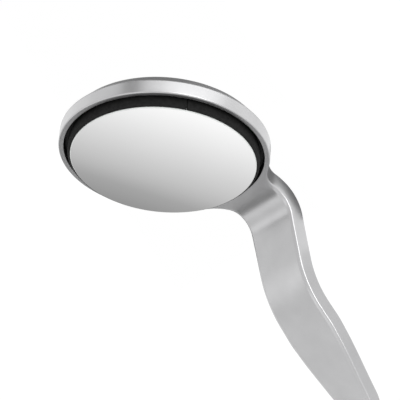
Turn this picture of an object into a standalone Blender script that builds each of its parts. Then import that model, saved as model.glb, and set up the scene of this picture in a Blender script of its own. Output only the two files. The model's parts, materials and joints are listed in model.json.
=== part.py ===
"""A powered mouth mirror: a spinning mirror head on an S-shaped neck that plugs into a battery handle.

The object lies on a table, top up. Row frame: +X from the tail of the handle to the mirror head, +Z up,
origin at the middle of the footprint. Three working frames hang on empties:
    head    local X from the mirror's centre towards the neck, local Z along the spin axis, out of the glass
    body    local X from the mirror towards the tail, along the handle, local Z up
    turning local Z from the mirror towards the tail, on the handle's axis, for turned pieces
"""

from math import cos, pi, radians, sin

import bmesh
import bpy
import numpy as np
from mathutils import Matrix

MM = 0.001

# Driving dimensions of the head, in the head frame. Depths count down from the rim's front plane.
TILT = radians(41.0)
RIM_RADIUS = 12.5 * MM
RIM_BORE = 11.85 * MM
RIM_WALL_DEPTH = 1.67 * MM
BACK_RADIUS = 11.2 * MM
BACK_DEPTH = 3.14 * MM
MIRROR_RADIUS = 11.0 * MM
MIRROR_FACE = 1.13 * MM
GLASS_THICKNESS = 0.9 * MM
EDGE = 0.1 * MM
SEAT = 0.02 * MM
COVER_FLOOR = 2.7 * MM
SPIGOT_RADIUS = 11.81 * MM
SPIGOT_BORE = 11.2 * MM
SPIGOT_TOP = 0.9 * MM
SEAL_TOP = 1.15 * MM
SEAL_BOTTOM = 1.55 * MM
SEAL_DEPTH = 0.36 * MM
NOTCH_START = 10.0 * MM
NOTCH_END = 13.0 * MM
NOTCH_HALF = 1.7 * MM
NOTCH_DEPTH = 2.3 * MM

# The rotor and its motor, same frame.
ROTOR_TOP = 0.02 * MM
ROTOR_BOTTOM = 0.58 * MM
BAND_TOP = 1.0 * MM
BAND_RADIUS = 11.35 * MM
BAND_BORE = 11.04 * MM
BAND_JOINT = radians(115.0)
BAND_SLIT = 0.05 * MM
PAD_RADIUS = 10.6 * MM
MAGNET_TOP = 0.62 * MM
MAGNET_BOTTOM = 1.40 * MM
MAGNET_RADIUS = 10.5 * MM
MAGNET_BORE = 4.6 * MM
COILS = 6
COIL_TOP = 1.58 * MM
COIL_BOTTOM = 2.16 * MM
COIL_INNER = 4.4 * MM
COIL_OUTER = 10.4 * MM
COIL_HALF_ANGLE = radians(24.0)
COIL_BAND = 1.15 * MM
COIL_MIDDLE = 6.45 * MM
BOARD_TOP = 2.20 * MM
BOARD_BOTTOM = 2.60 * MM
BOARD_RADIUS = 11.0 * MM
BOARD_BORE = 3.3 * MM
SENSOR_SIZE = (1.5 * MM, 0.9 * MM, 0.4 * MM)
SENSOR_PLACE = 9.6 * MM
BEARING_TOP = 1.25 * MM
BEARING_BOTTOM = 2.35 * MM
RACE_OUTER = 2.5 * MM
RACE_OUTER_LIP = 2.05 * MM
RACE_INNER_LIP = 1.5 * MM
RACE_BORE = 1.02 * MM
RACE_GROOVE = 0.08 * MM
RACE_GROOVE_HALF = 0.22 * MM
BALLS = 7
BALL_RADIUS = 0.33 * MM
BALL_CIRCLE = 1.775 * MM
CAGE_HALF_WIDTH = 0.09 * MM
CAGE_HALF_HEIGHT = 0.13 * MM
BOSS_RADIUS = 3.1 * MM
BOSS_TOP = 1.2 * MM
SPINDLE_RADIUS = 1.0 * MM
SPINDLE_SHOULDER = 1.4 * MM
SPINDLE_TIP = 2.66 * MM
CLIP_TOP = 2.40 * MM
CLIP_BOTTOM = 2.55 * MM
CLIP_NECK = 0.75 * MM
CLIP_RADIUS = 1.45 * MM
CLIP_MOUTH_HALF = 0.45 * MM

# The neck, along the centre line of its front face in the head frame.
NECK_THICKNESS = 1.95 * MM
NECK_STRAIGHT = 13.65 * MM
BEND_RADIUS = 3.25 * MM
BEND_TURN = radians(71.6)
NECK_RISE = 5.4 * MM
SWEEP_RADIUS = 12.8 * MM
NECK_END = 42.2 * MM
NECK_TIP = 46.0 * MM
PLATE_START = 9.0 * MM
ROOT_START = 11.3 * MM
ROOT_END = 15.0 * MM
ROOT_CURVE = 116.0
NECK_WIDTHS = (
    (15.0 * MM, 3.76 * MM),
    (18.0 * MM, 3.68 * MM),
    (23.0 * MM, 3.63 * MM),
    (27.0 * MM, 3.61 * MM),
    (30.3 * MM, 3.66 * MM),
    (32.4 * MM, 3.70 * MM),
    (34.0 * MM, 3.57 * MM),
    (42.2 * MM, 2.40 * MM),
    (43.6 * MM, 1.60 * MM),
    (46.0 * MM, 1.50 * MM),
)
FRONT_CHAMFER = 0.3 * MM
REAR_CHAMFER = 0.15 * MM
CHANNEL_TOP = 0.95 * MM
CHANNEL_BOTTOM = 1.45 * MM
CHANNEL_HALF = 1.35 * MM
CHANNEL_START = 10.0 * MM
CHANNEL_END = 51.2 * MM
STRIP_HALF = 2.0 * MM
STRIP_START = 12.9 * MM
STRIP_END = 41.0 * MM
FLEX_TOP = 1.1 * MM
FLEX_BOTTOM = 1.26 * MM
FLEX_HALF = 1.05 * MM
FLEX_END_GAP = 0.3 * MM
FLEX_RAMP = ((10.45 * MM, 2.02 * MM), (11.0 * MM, 2.02 * MM), (11.9 * MM, 1.55 * MM))

# The handle, measured back along its axis from the mirror's centre.
HANDLE_HALF_HEIGHT = 6.75 * MM
BARREL_RADIUS = 7.25 * MM
BARREL_BORE = 5.95 * MM
RUN_OUT_START = 38.9 * MM
STEM_START = 40.6 * MM
RUN_OUT_MIDDLE = 39.7 * MM
RUN_OUT_SHARES = (0.85, 0.45)
STEM_RADIUS = 1.95 * MM
STEM_BORE = 1.3 * MM
STEM_BORE_START = 46.0 * MM
STEM_END = 58.0 * MM
COLLAR_START = 42.0 * MM
COLLAR_END = 43.2 * MM
COLLAR_RADIUS = 2.9 * MM
STEM_RINGS = (47.0 * MM, 53.0 * MM)
RING_WIDTH = 0.8 * MM
RING_DEPTH = 0.42 * MM
RING_BEVEL = 0.12 * MM
NOSE_START = 43.35 * MM
NOSE_TIP_RADIUS = 3.3 * MM
NOSE_BORE = 2.03 * MM
NOSE_POCKET = 58.9 * MM
NOSE_POCKET_BORE = 4.25 * MM
NOSE_SPIGOT = 5.9 * MM
NOSE_STEPS = 6
BARREL_START = 63.0 * MM
BARREL_END = 169.0 * MM
NOSE_END = 68.0 * MM
NOSE_RING_START = 65.0 * MM
NOSE_RING_END = 66.0 * MM
PLUG_START = 55.6 * MM
PLUG_END = 58.6 * MM
PIN_OFFSET = 0.6 * MM
PIN_RADIUS = 0.25 * MM
PIN_END = 61.6 * MM
SOCKET_START = 59.1 * MM
SOCKET_END = 67.2 * MM
CONTACT_START = 59.4 * MM
CONTACT_END = 65.0 * MM
CONTACT_WALL = 0.16 * MM
GRIP_RINGS = 4
GRIP_FIRST = 71.0 * MM
GRIP_PITCH = 5.0 * MM
GRIP_WIDTH = 2.2 * MM
GRIP_BORE = 6.34 * MM
GRIP_DROP = 0.05 * MM
CHASSIS_START = 69.5 * MM
CHASSIS_END = 162.4 * MM
CHASSIS_RADIUS = 5.85 * MM
CHASSIS_BORE = 5.32 * MM
CHASSIS_OVERLAP = 0.2 * MM
TRAY_START = 71.5 * MM
TRAY_END = 113.5 * MM
TRAY_LEVEL = 1.15 * MM
BULKHEAD_END = 115.0 * MM
PCB_START = 72.0 * MM
PCB_END = 113.0 * MM
PCB_BOTTOM = 1.18 * MM
PCB_TOP = 1.98 * MM
PCB_HALF = 5.45 * MM
BUTTON_AT = 98.0 * MM
BUTTON_HALF_LENGTH = 4.5 * MM
BUTTON_HALF_WIDTH = 2.0 * MM
BUTTON_TOP = 7.25 * MM
BUTTON_MARGIN = 0.1 * MM
FLANGE_BOTTOM = 4.5 * MM
FLANGE_TOP = 5.0 * MM
FLANGE_MARGIN = 0.6 * MM
BUTTON_FOOT = 4.43 * MM
BUTTON_FOOT_RADIUS = 1.2 * MM
BUTTON_SEAL_TOP = 5.26 * MM
SWITCH_HALF = (2.4 * MM, 1.9 * MM)
SWITCH_TOP = 3.6 * MM
PLUNGER_RADIUS = 0.8 * MM
PLUNGER_TOP = 4.4 * MM
PLUNGER_BOTTOM = 3.3 * MM
WELL_RADIUS = 0.85 * MM
WELL_BOTTOM = 2.8 * MM
LED_AT = 108.0 * MM
LED_SIZE = (1.6 * MM, 1.0 * MM, 0.73 * MM)
GUIDE_RADIUS = 0.78 * MM
GUIDE_FOOT = 2.85 * MM
CHIP_AT = 87.0 * MM
CHIP_HALF = 2.0 * MM
CHIP_HEIGHT = 0.9 * MM
INDUCTOR_AT = 79.0 * MM
DRUM_RADIUS = 2.1 * MM
DRUM_WAIST = 1.6 * MM
DRUM_HEIGHT = 2.4 * MM
DRUM_FLANGE = 0.5 * MM
LEAF_TIP = 1.2 * MM
LEAF_RISE = 1.8 * MM
LEAF_RADIUS = 3.6 * MM
LEAF_THICKNESS = 0.32 * MM

# The cell and the battery cap.
CELL_NUB = 116.4 * MM
CELL_START = 117.2 * MM
CELL_END = 160.9 * MM
CAN_RADIUS = 5.05 * MM
JACKET_RADIUS = 5.24 * MM
JACKET_INSET = 0.15 * MM
NUB_RADIUS = 1.9 * MM
CAP_SPIGOT_START = 163.2 * MM
CAP_SPIGOT = 5.8 * MM
CAP_HOLLOW = 4.9 * MM
CAP_HOLLOW_END = 167.2 * MM
CAP_SPIGOT_END = 169.27 * MM
CAP_HEAD_START = 169.3 * MM
CAP_SOCKET = 4.6 * MM
CAP_SOCKET_END = 175.0 * MM
CAP_STUB_END = 174.9 * MM
CAP_END = 180.0 * MM
CAP_RADIUS = 6.6 * MM
CAP_CHAMFER = 0.8 * MM
CAP_RING_START = 167.6 * MM
CAP_RING_END = 168.6 * MM
CAP_PLATE = 0.4 * MM
CAP_PLATE_MARGIN = 0.2 * MM
CAP_FLUTES = 12
FLUTE_RADIUS = 0.6 * MM
FLUTE_REACH = 6.8 * MM
FLUTE_START = 170.8 * MM
SPRING_TURNS = 4
SPRING_POINTS = 10
SPRING_WIRE = 0.25 * MM
SPRING_NEAR = 2.2 * MM
SPRING_FAR = 4.3 * MM
SPRING_GAP = 0.05 * MM

GAP = 0.03 * MM
WIDE_STEPS = 40
STEPS = 28
FINE_STEPS = 16
PIN_STEPS = 12
FLUTE_STEPS = 6
BEARING_STEPS = 20
PAST = 3.0 * MM
WHOLE_WIDTH = 40.0 * MM
WELD = 0.001 * MM
SMOOTH_UP_TO = radians(30.0)


DOME = ((RIM_RADIUS, -RIM_WALL_DEPTH), (BACK_RADIUS, -BACK_DEPTH))
HEAD_REACH = max(radius * cos(TILT) - height * sin(TILT) for radius, height in DOME)
HEAD_X = (CAP_END - HEAD_REACH) / 2


def neck_place(along):
    """(u, n, heading) of the front face's centre line, this far from the mirror's centre."""
    if along <= NECK_STRAIGHT:
        return along, 0.0, 0.0
    bend = min((along - NECK_STRAIGHT) / BEND_RADIUS, BEND_TURN)
    u = NECK_STRAIGHT + BEND_RADIUS * sin(bend)
    n = BEND_RADIUS * (1 - cos(bend))
    left = along - NECK_STRAIGHT - BEND_RADIUS * bend
    rise = min(left, NECK_RISE)
    u, n = u + rise * cos(bend), n + rise * sin(bend)
    left -= rise
    back = min(left / SWEEP_RADIUS, BEND_TURN - TILT)
    heading = bend - back
    u += SWEEP_RADIUS * (sin(bend) - sin(heading))
    n += SWEEP_RADIUS * (cos(heading) - cos(bend))
    left -= SWEEP_RADIUS * back
    return u + left * cos(heading), n + left * sin(heading), heading


END_U, END_N, _ = neck_place(NECK_END)
NECK_FRONT_HEIGHT = END_N * cos(TILT) - END_U * sin(TILT)
NECK_END_X = END_U * cos(TILT) + END_N * sin(TILT)
HEAD_Z = HANDLE_HALF_HEIGHT + NECK_THICKNESS / 2 - NECK_FRONT_HEIGHT


def neck_half_width(along):
    """Half the neck's width: a parabolic fillet at the root, then a smooth curve through NECK_WIDTHS."""
    if along < ROOT_END:
        rest = ROOT_END - max(along, ROOT_START)
        return NECK_WIDTHS[0][1] + ROOT_CURVE * rest**2
    places, widths = np.array(NECK_WIDTHS).T
    slopes = np.gradient(widths, places)
    k = int(np.clip(np.searchsorted(places, along) - 1, 0, len(places) - 2))
    span = places[k + 1] - places[k]
    t = (along - places[k]) / span
    rise = widths[k + 1] - widths[k]
    curl = t * (1 - t) * ((1 - t) * (slopes[k] * span - rise) - t * (slopes[k + 1] * span - rise))
    return float(widths[k] + t * rise + curl)


def clear_scene():
    for old in list(bpy.data.objects):
        bpy.data.objects.remove(old)


def new_collection(name):
    collection = bpy.data.collections.new(name)
    bpy.context.scene.collection.children.link(collection)
    return collection


def finish(name, colour, roughness, metallic=0.0, alpha=1.0):
    """A Principled BSDF material."""
    material = bpy.data.materials.new(name)
    material.use_nodes = True
    shader = material.node_tree.nodes["Principled BSDF"]
    shader.inputs["Base Color"].default_value = (*colour, 1.0)
    shader.inputs["Roughness"].default_value = roughness
    shader.inputs["Metallic"].default_value = metallic
    shader.inputs["Alpha"].default_value = alpha
    return material


clear_scene()
PARTS = new_collection("mouth_mirror")
HELPERS = new_collection("cutters")

ALUMINIUM = finish("satin aluminium", (0.60, 0.60, 0.61), 0.34, 1.0)
MIRROR = finish("front-surface mirror", (0.93, 0.94, 0.95), 0.02, 1.0)
BAND = finish("matte black strip", (0.012, 0.012, 0.012), 0.8)
STEEL = finish("steel", (0.45, 0.45, 0.46), 0.3, 1.0)
MAGNET = finish("nickel-plated magnet", (0.35, 0.34, 0.33), 0.3, 1.0)
COPPER = finish("enamelled copper wire", (0.55, 0.22, 0.08), 0.35, 1.0)
BOARD = finish("green circuit board", (0.02, 0.12, 0.05), 0.45)
CHIP = finish("black moulded epoxy", (0.02, 0.02, 0.02), 0.5)
RUBBER = finish("black silicone", (0.02, 0.02, 0.02), 0.6)
PAD = finish("adhesive film", (0.55, 0.55, 0.50), 0.5)
FILM = finish("polyimide film", (0.45, 0.20, 0.03), 0.35)
GOLD = finish("gold-plated contact", (0.75, 0.52, 0.20), 0.25, 1.0)
NYLON = finish("black nylon", (0.03, 0.03, 0.03), 0.5)
CLEAR = finish("clear acrylic", (0.85, 0.9, 0.9), 0.1, 0.0, 0.5)
WHITE = finish("white diode body", (0.8, 0.8, 0.75), 0.4)
JACKET = finish("cell jacket", (0.05, 0.10, 0.25), 0.35)


def add_empty(name, matrix):
    empty = bpy.data.objects.new(name, None)
    empty.empty_display_size = 0.005
    PARTS.objects.link(empty)
    empty.matrix_world = matrix
    return empty


ON_AXIS = Matrix.Translation((HEAD_X, 0.0, HANDLE_HALF_HEIGHT))
HEAD = add_empty(
    "spin_axis",
    Matrix.Translation((HEAD_X, 0.0, HEAD_Z)) @ Matrix.Rotation(-TILT, 4, "Y") @ Matrix.Rotation(pi, 4, "Z"),
)
BODY = add_empty("handle_frame", ON_AXIS @ Matrix.Rotation(pi, 4, "Z"))
TURNING = add_empty("handle_axis", ON_AXIS @ Matrix.Rotation(-pi / 2, 4, "Y"))
BUTTON_AXIS = add_empty(
    "button_axis", ON_AXIS @ Matrix.Rotation(pi, 4, "Z") @ Matrix.Translation((BUTTON_AT, 0.0, 0.0))
)


def add_mesh_object(name, mesh, frame, material):
    """Puts a mesh in a frame, as a part where it has a material and as a hidden helper where it has none."""
    obj = bpy.data.objects.new(name, mesh)
    obj.parent = frame
    if material is None:
        HELPERS.objects.link(obj)
        obj.hide_render = True
        obj.display_type = "WIRE"
    else:
        PARTS.objects.link(obj)
        mesh.materials.append(material)
    return obj


def as_mesh(blank, smooth):
    """The evaluated mesh of a temporary object, which is then removed."""
    HELPERS.objects.link(blank)
    graph = bpy.context.evaluated_depsgraph_get()
    mesh = bpy.data.meshes.new_from_object(blank.evaluated_get(graph))
    bpy.data.objects.remove(blank)
    mesh.materials.clear()
    if smooth:
        mesh.shade_smooth()
        mesh.set_sharp_from_angle(angle=SMOOTH_UP_TO)
    return mesh


def turned(name, profile, frame, material, steps=STEPS, ring=False):
    """Turns a profile of (radius, height) points, outer side first and top to bottom, about local Z."""
    mesh = bpy.data.meshes.new(name)
    count = len(profile)
    edges = [(k, k + 1) for k in range(count - 1)]
    if ring:
        edges.append((count - 1, 0))
    mesh.from_pydata([(radius, 0.0, height) for radius, height in profile], edges, [])
    blank = bpy.data.objects.new(name, mesh)
    screw = blank.modifiers.new("turn", "SCREW")
    screw.steps = steps
    screw.render_steps = steps
    screw.use_merge_vertices = True
    screw.merge_threshold = WELD
    return add_mesh_object(name, as_mesh(blank, True), frame, material)


def tube(name, outer, inner, start, end, frame, material, steps=STEPS):
    """A plain ring between two radii and two heights."""
    profile = [(outer, end), (outer, start), (inner, start), (inner, end)]
    return turned(name, profile, frame, material, steps, ring=True)


def rod(name, radius, start, end, frame, material, steps=STEPS):
    """A plain solid cylinder on local Z."""
    profile = [(0.0, end), (radius, end), (radius, start), (0.0, start)]
    return turned(name, profile, frame, material, steps)


def extruded(name, outlines, low, high, frame, material):
    """A flat outline, with any holes in it, given a thickness along local Z."""
    curve = bpy.data.curves.new(name, "CURVE")
    curve.dimensions = "2D"
    curve.fill_mode = "BOTH"
    curve.extrude = (high - low) / 2
    for outline in outlines:
        spline = curve.splines.new("POLY")
        spline.points.add(len(outline) - 1)
        spline.points.foreach_set("co", [c for x, y in outline for c in (x, y, 0.0, 1.0)])
        spline.use_cyclic_u = True
    mesh = as_mesh(bpy.data.objects.new(name, curve), False)
    shape = bmesh.new()
    shape.from_mesh(mesh)
    bmesh.ops.remove_doubles(shape, verts=shape.verts, dist=WELD)
    bmesh.ops.recalc_face_normals(shape, faces=shape.faces)
    bmesh.ops.translate(shape, verts=shape.verts, vec=(0.0, 0.0, (low + high) / 2))
    shape.to_mesh(mesh)
    shape.free()
    mesh.name = name
    return add_mesh_object(name, mesh, frame, material)


def box(name, low, high, frame, material):
    """A plain block between two corners."""
    shape = bmesh.new()
    size = [b - a for a, b in zip(low, high)]
    middle = [(a + b) / 2 for a, b in zip(low, high)]
    bmesh.ops.create_cube(shape, size=1.0, matrix=Matrix.Translation(middle) @ Matrix.Diagonal((*size, 1.0)))
    mesh = bpy.data.meshes.new(name)
    shape.to_mesh(mesh)
    shape.free()
    return add_mesh_object(name, mesh, frame, material)


def slot_outline(half_length, half_width, x=0.0, arc_steps=6):
    """A slot with round ends, along local X about x, counter-clockwise."""
    straight = half_length - half_width
    points = []
    for side in (1, -1):
        for step in range(arc_steps + 1):
            angle = pi * step / arc_steps - side * pi / 2
            points.append((x + side * straight + half_width * cos(angle), half_width * sin(angle)))
    return points


def cut(obj, *cutters, operation="DIFFERENCE", solver="EXACT"):
    for cutter in cutters:
        boolean = obj.modifiers.new(cutter.name, "BOOLEAN")
        boolean.operation = operation
        boolean.solver = solver
        boolean.object = cutter
    return obj


def join(obj, *others):
    return cut(obj, *others, operation="UNION")


def strip(name, stations, top, bottom, material, front=0.0, rear=0.0):
    """Lofts a flat bar along the neck's line.

    stations are (u, n, heading, half_width); top and bottom are depths below the front face, front and
    rear the chamfers of its long edges. Each section is eight points, or four without chamfers.
    """
    shape = bmesh.new()
    rows = []
    for u, n, heading, half in stations:
        corners = [(half - front, top), (half, top + front), (half, bottom - rear), (half - rear, bottom)]
        corners = list(dict.fromkeys(corners))
        corners += [(-v, depth) for v, depth in reversed(corners)]
        rows.append(
            [shape.verts.new((u + depth * sin(heading), v, n - depth * cos(heading))) for v, depth in corners]
        )
    for near, far in zip(rows, rows[1:]):
        for k in range(len(near)):
            after = (k + 1) % len(near)
            shape.faces.new((near[k], near[after], far[after], far[k]))
    shape.faces.new(rows[0])
    shape.faces.new(rows[-1])
    bmesh.ops.recalc_face_normals(shape, faces=shape.faces)
    mesh = bpy.data.meshes.new(name)
    shape.to_mesh(mesh)
    shape.free()
    return add_mesh_object(name, mesh, HEAD, material)


def neck_stations(start, end, half_width, count=24):
    """Stations along the neck between two distances, where half_width is a number or a function."""
    found = []
    for along in np.linspace(start, end, count):
        half = half_width(along) if callable(half_width) else half_width
        found.append((*neck_place(along), half))
    return found


def make_head_frame():
    """Rim, neck and plug stem, milled from one piece, with the motor's pocket and the cable's channel."""
    plate = strip(
        "head_frame",
        neck_stations(PLATE_START, NECK_TIP, neck_half_width, 32),
        SEAT,
        NECK_THICKNESS,
        ALUMINIUM,
        FRONT_CHAMFER,
        REAR_CHAMFER,
    )
    rim_profile = [
        (0.0, 0.0),
        (RIM_RADIUS - EDGE, 0.0),
        (RIM_RADIUS, -EDGE),
        (RIM_RADIUS, -RIM_WALL_DEPTH),
        (0.0, -RIM_WALL_DEPTH),
    ]
    rim = turned("rim_blank", rim_profile, HEAD, None, WIDE_STEPS)
    stem_profile = [(0.0, STEM_END), (STEM_RADIUS, STEM_END)]
    for ring in reversed(STEM_RINGS):
        stem_profile += [
            (STEM_RADIUS, ring + RING_WIDTH / 2),
            (STEM_RADIUS - RING_DEPTH, ring + RING_WIDTH / 2),
            (STEM_RADIUS - RING_DEPTH, ring - RING_WIDTH / 2),
            (STEM_RADIUS, ring - RING_WIDTH / 2),
        ]
    stem_profile += [
        (STEM_RADIUS, COLLAR_END),
        (COLLAR_RADIUS, COLLAR_END),
        (COLLAR_RADIUS, COLLAR_START),
        (STEM_RADIUS, COLLAR_START),
        (STEM_RADIUS, STEM_START),
        (STEM_RADIUS * RUN_OUT_SHARES[0], RUN_OUT_MIDDLE),
        (STEM_RADIUS * RUN_OUT_SHARES[1], RUN_OUT_START),
        (0.0, RUN_OUT_START),
    ]
    stem = turned("stem_blank", stem_profile, TURNING, None)
    join(plate, rim, stem)
    pocket = turned(
        "pocket_cutter",
        [
            (0.0, PAST),
            (RIM_BORE, PAST),
            (RIM_BORE, -RIM_WALL_DEPTH + EDGE),
            (RIM_RADIUS + GAP, -RIM_WALL_DEPTH + EDGE / 2),
            (RIM_RADIUS + GAP, -BACK_DEPTH - PAST),
            (0.0, -BACK_DEPTH - PAST),
        ],
        HEAD,
        None,
        WIDE_STEPS,
    )
    channel = strip(
        "channel_cutter",
        neck_stations(CHANNEL_START, CHANNEL_END, CHANNEL_HALF),
        CHANNEL_TOP,
        CHANNEL_BOTTOM + GAP,
        None,
    )
    recess = strip(
        "strip_cutter",
        neck_stations(STRIP_START, STRIP_END, STRIP_HALF),
        CHANNEL_BOTTOM,
        NECK_THICKNESS + PAST,
        None,
    )
    doorway = box(
        "doorway_cutter",
        (RIM_BORE - 4 * EDGE, -CHANNEL_HALF, -RIM_WALL_DEPTH - EDGE),
        (RIM_RADIUS, CHANNEL_HALF, -CHANNEL_TOP - EDGE),
        HEAD,
        None,
    )
    join(channel, recess, doorway)
    bore = rod("stem_cutter", STEM_BORE, STEM_BORE_START, STEM_END + PAST, TURNING, None, FINE_STEPS)
    # The exact solver drops one face of the pocket's wall at the last cut.
    return cut(plate, pocket, channel, bore, solver="MANIFOLD")


def make_back_cover():
    """The domed back of the head: a press-fit spigot, a seal groove and the bearing's boss."""
    profile = [
        (0.0, -COVER_FLOOR),
        (RACE_OUTER_LIP - EDGE, -COVER_FLOOR),
        (RACE_OUTER_LIP - EDGE, -BEARING_BOTTOM - SEAT),
        (RACE_OUTER + SEAT, -BEARING_BOTTOM - SEAT),
        (RACE_OUTER + SEAT, -BOSS_TOP),
        (BOSS_RADIUS, -BOSS_TOP),
        (BOSS_RADIUS, -COVER_FLOOR),
        (SPIGOT_BORE, -COVER_FLOOR),
        (SPIGOT_BORE, -SPIGOT_TOP),
        (SPIGOT_RADIUS, -SPIGOT_TOP),
        (SPIGOT_RADIUS, -SEAL_TOP),
        (SPIGOT_RADIUS - SEAL_DEPTH, -SEAL_TOP),
        (SPIGOT_RADIUS - SEAL_DEPTH, -SEAL_BOTTOM),
        (SPIGOT_RADIUS, -SEAL_BOTTOM),
        (SPIGOT_RADIUS, -RIM_WALL_DEPTH - GAP),
        (RIM_RADIUS, -RIM_WALL_DEPTH - GAP),
        *DOME[1:],
        (0.0, -BACK_DEPTH),
    ]
    return turned("head_back_cover", profile, HEAD, ALUMINIUM, WIDE_STEPS)


def make_head_covers():
    """The head's back and its seal, notched for the cable, and the strip that covers the neck's channel."""
    outer, inner = RIM_BORE - 2 * SEAT, SPIGOT_RADIUS - SEAL_DEPTH + SEAT
    low, high = -SEAL_BOTTOM + SEAT, -SEAL_TOP - SEAT
    seal = tube("head_seal", outer, inner, low, high, HEAD, RUBBER, WIDE_STEPS)
    corners = (NOTCH_START, -NOTCH_HALF, -NOTCH_DEPTH), (NOTCH_END, NOTCH_HALF, PAST)
    notch = box("notch_cutter", *corners, HEAD, None)
    cut(make_back_cover(), notch)
    cut(seal, notch)
    strip(
        "neck_rear_cover",
        neck_stations(STRIP_START + GAP, STRIP_END - GAP, STRIP_HALF - GAP),
        CHANNEL_BOTTOM + GAP,
        NECK_THICKNESS,
        ALUMINIUM,
    )


def coil_loop(middle, inner, outer, half_angle):
    """One sector-shaped loop about the direction at angle middle."""
    side = np.linspace(-half_angle, half_angle, 6)
    far = [(outer * cos(middle + a), outer * sin(middle + a)) for a in side]
    near = [(inner * cos(middle + a), inner * sin(middle + a)) for a in reversed(side)]
    return far + near


def make_stator():
    """Board, coils and sensor, fixed in the head."""
    angles = np.linspace(0, 2 * pi, WIDE_STEPS, endpoint=False)
    rings = [[(r * cos(a), r * sin(a)) for a in angles] for r in (BOARD_RADIUS, BOARD_BORE)]
    extruded("motor_board", rings, -BOARD_BOTTOM, -BOARD_TOP, HEAD, BOARD)
    inner_angle = COIL_HALF_ANGLE - COIL_BAND / COIL_MIDDLE
    for k in range(COILS):
        middle = (k + 0.5) * 2 * pi / COILS
        loops = [
            coil_loop(middle, COIL_INNER, COIL_OUTER, COIL_HALF_ANGLE),
            coil_loop(middle, COIL_INNER + COIL_BAND, COIL_OUTER - COIL_BAND, inner_angle),
        ]
        extruded(f"coil_{k + 1}", loops, -COIL_BOTTOM, -COIL_TOP, HEAD, COPPER)
    length, width, height = SENSOR_SIZE
    foot = -BOARD_TOP + SEAT
    box(
        "hall_sensor",
        (-SENSOR_PLACE - length / 2, -width / 2, foot),
        (-SENSOR_PLACE + length / 2, width / 2, foot + height),
        HEAD,
        CHIP,
    )


def make_bearing():
    """A miniature ball bearing: two grooved races, and the balls held in their cage."""
    middle = -(BEARING_TOP + BEARING_BOTTOM) / 2
    top, bottom = -BEARING_TOP, -BEARING_BOTTOM
    outer = [
        (RACE_OUTER, top),
        (RACE_OUTER, bottom),
        (RACE_OUTER_LIP, bottom),
        (RACE_OUTER_LIP, middle - RACE_GROOVE_HALF),
        (RACE_OUTER_LIP + RACE_GROOVE, middle - RACE_GROOVE_HALF / 2),
        (RACE_OUTER_LIP + RACE_GROOVE, middle + RACE_GROOVE_HALF / 2),
        (RACE_OUTER_LIP, middle + RACE_GROOVE_HALF),
        (RACE_OUTER_LIP, top),
    ]
    turned("bearing_outer_race", outer, HEAD, STEEL, BEARING_STEPS, ring=True)
    inner = [
        (RACE_INNER_LIP, top),
        (RACE_INNER_LIP, middle + RACE_GROOVE_HALF),
        (RACE_INNER_LIP - RACE_GROOVE, middle + RACE_GROOVE_HALF / 2),
        (RACE_INNER_LIP - RACE_GROOVE, middle - RACE_GROOVE_HALF / 2),
        (RACE_INNER_LIP, middle - RACE_GROOVE_HALF),
        (RACE_INNER_LIP, bottom),
        (RACE_BORE, bottom),
        (RACE_BORE, top),
    ]
    turned("bearing_inner_race", inner, HEAD, STEEL, BEARING_STEPS, ring=True)
    cage = tube(
        "bearing_balls",
        BALL_CIRCLE + CAGE_HALF_WIDTH,
        BALL_CIRCLE - CAGE_HALF_WIDTH,
        middle - CAGE_HALF_HEIGHT,
        middle + CAGE_HALF_HEIGHT,
        HEAD,
        STEEL,
        BALLS * 4,
    )
    for k in range(BALLS):
        angle = 2 * pi * k / BALLS
        shape = bmesh.new()
        place = Matrix.Translation((BALL_CIRCLE * cos(angle), BALL_CIRCLE * sin(angle), middle))
        bmesh.ops.create_icosphere(shape, subdivisions=1, radius=BALL_RADIUS, matrix=place)
        mesh = bpy.data.meshes.new(f"ball_{k}")
        shape.to_mesh(mesh)
        shape.free()
        join(cage, add_mesh_object(f"ball_{k}", mesh, HEAD, None))


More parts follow.
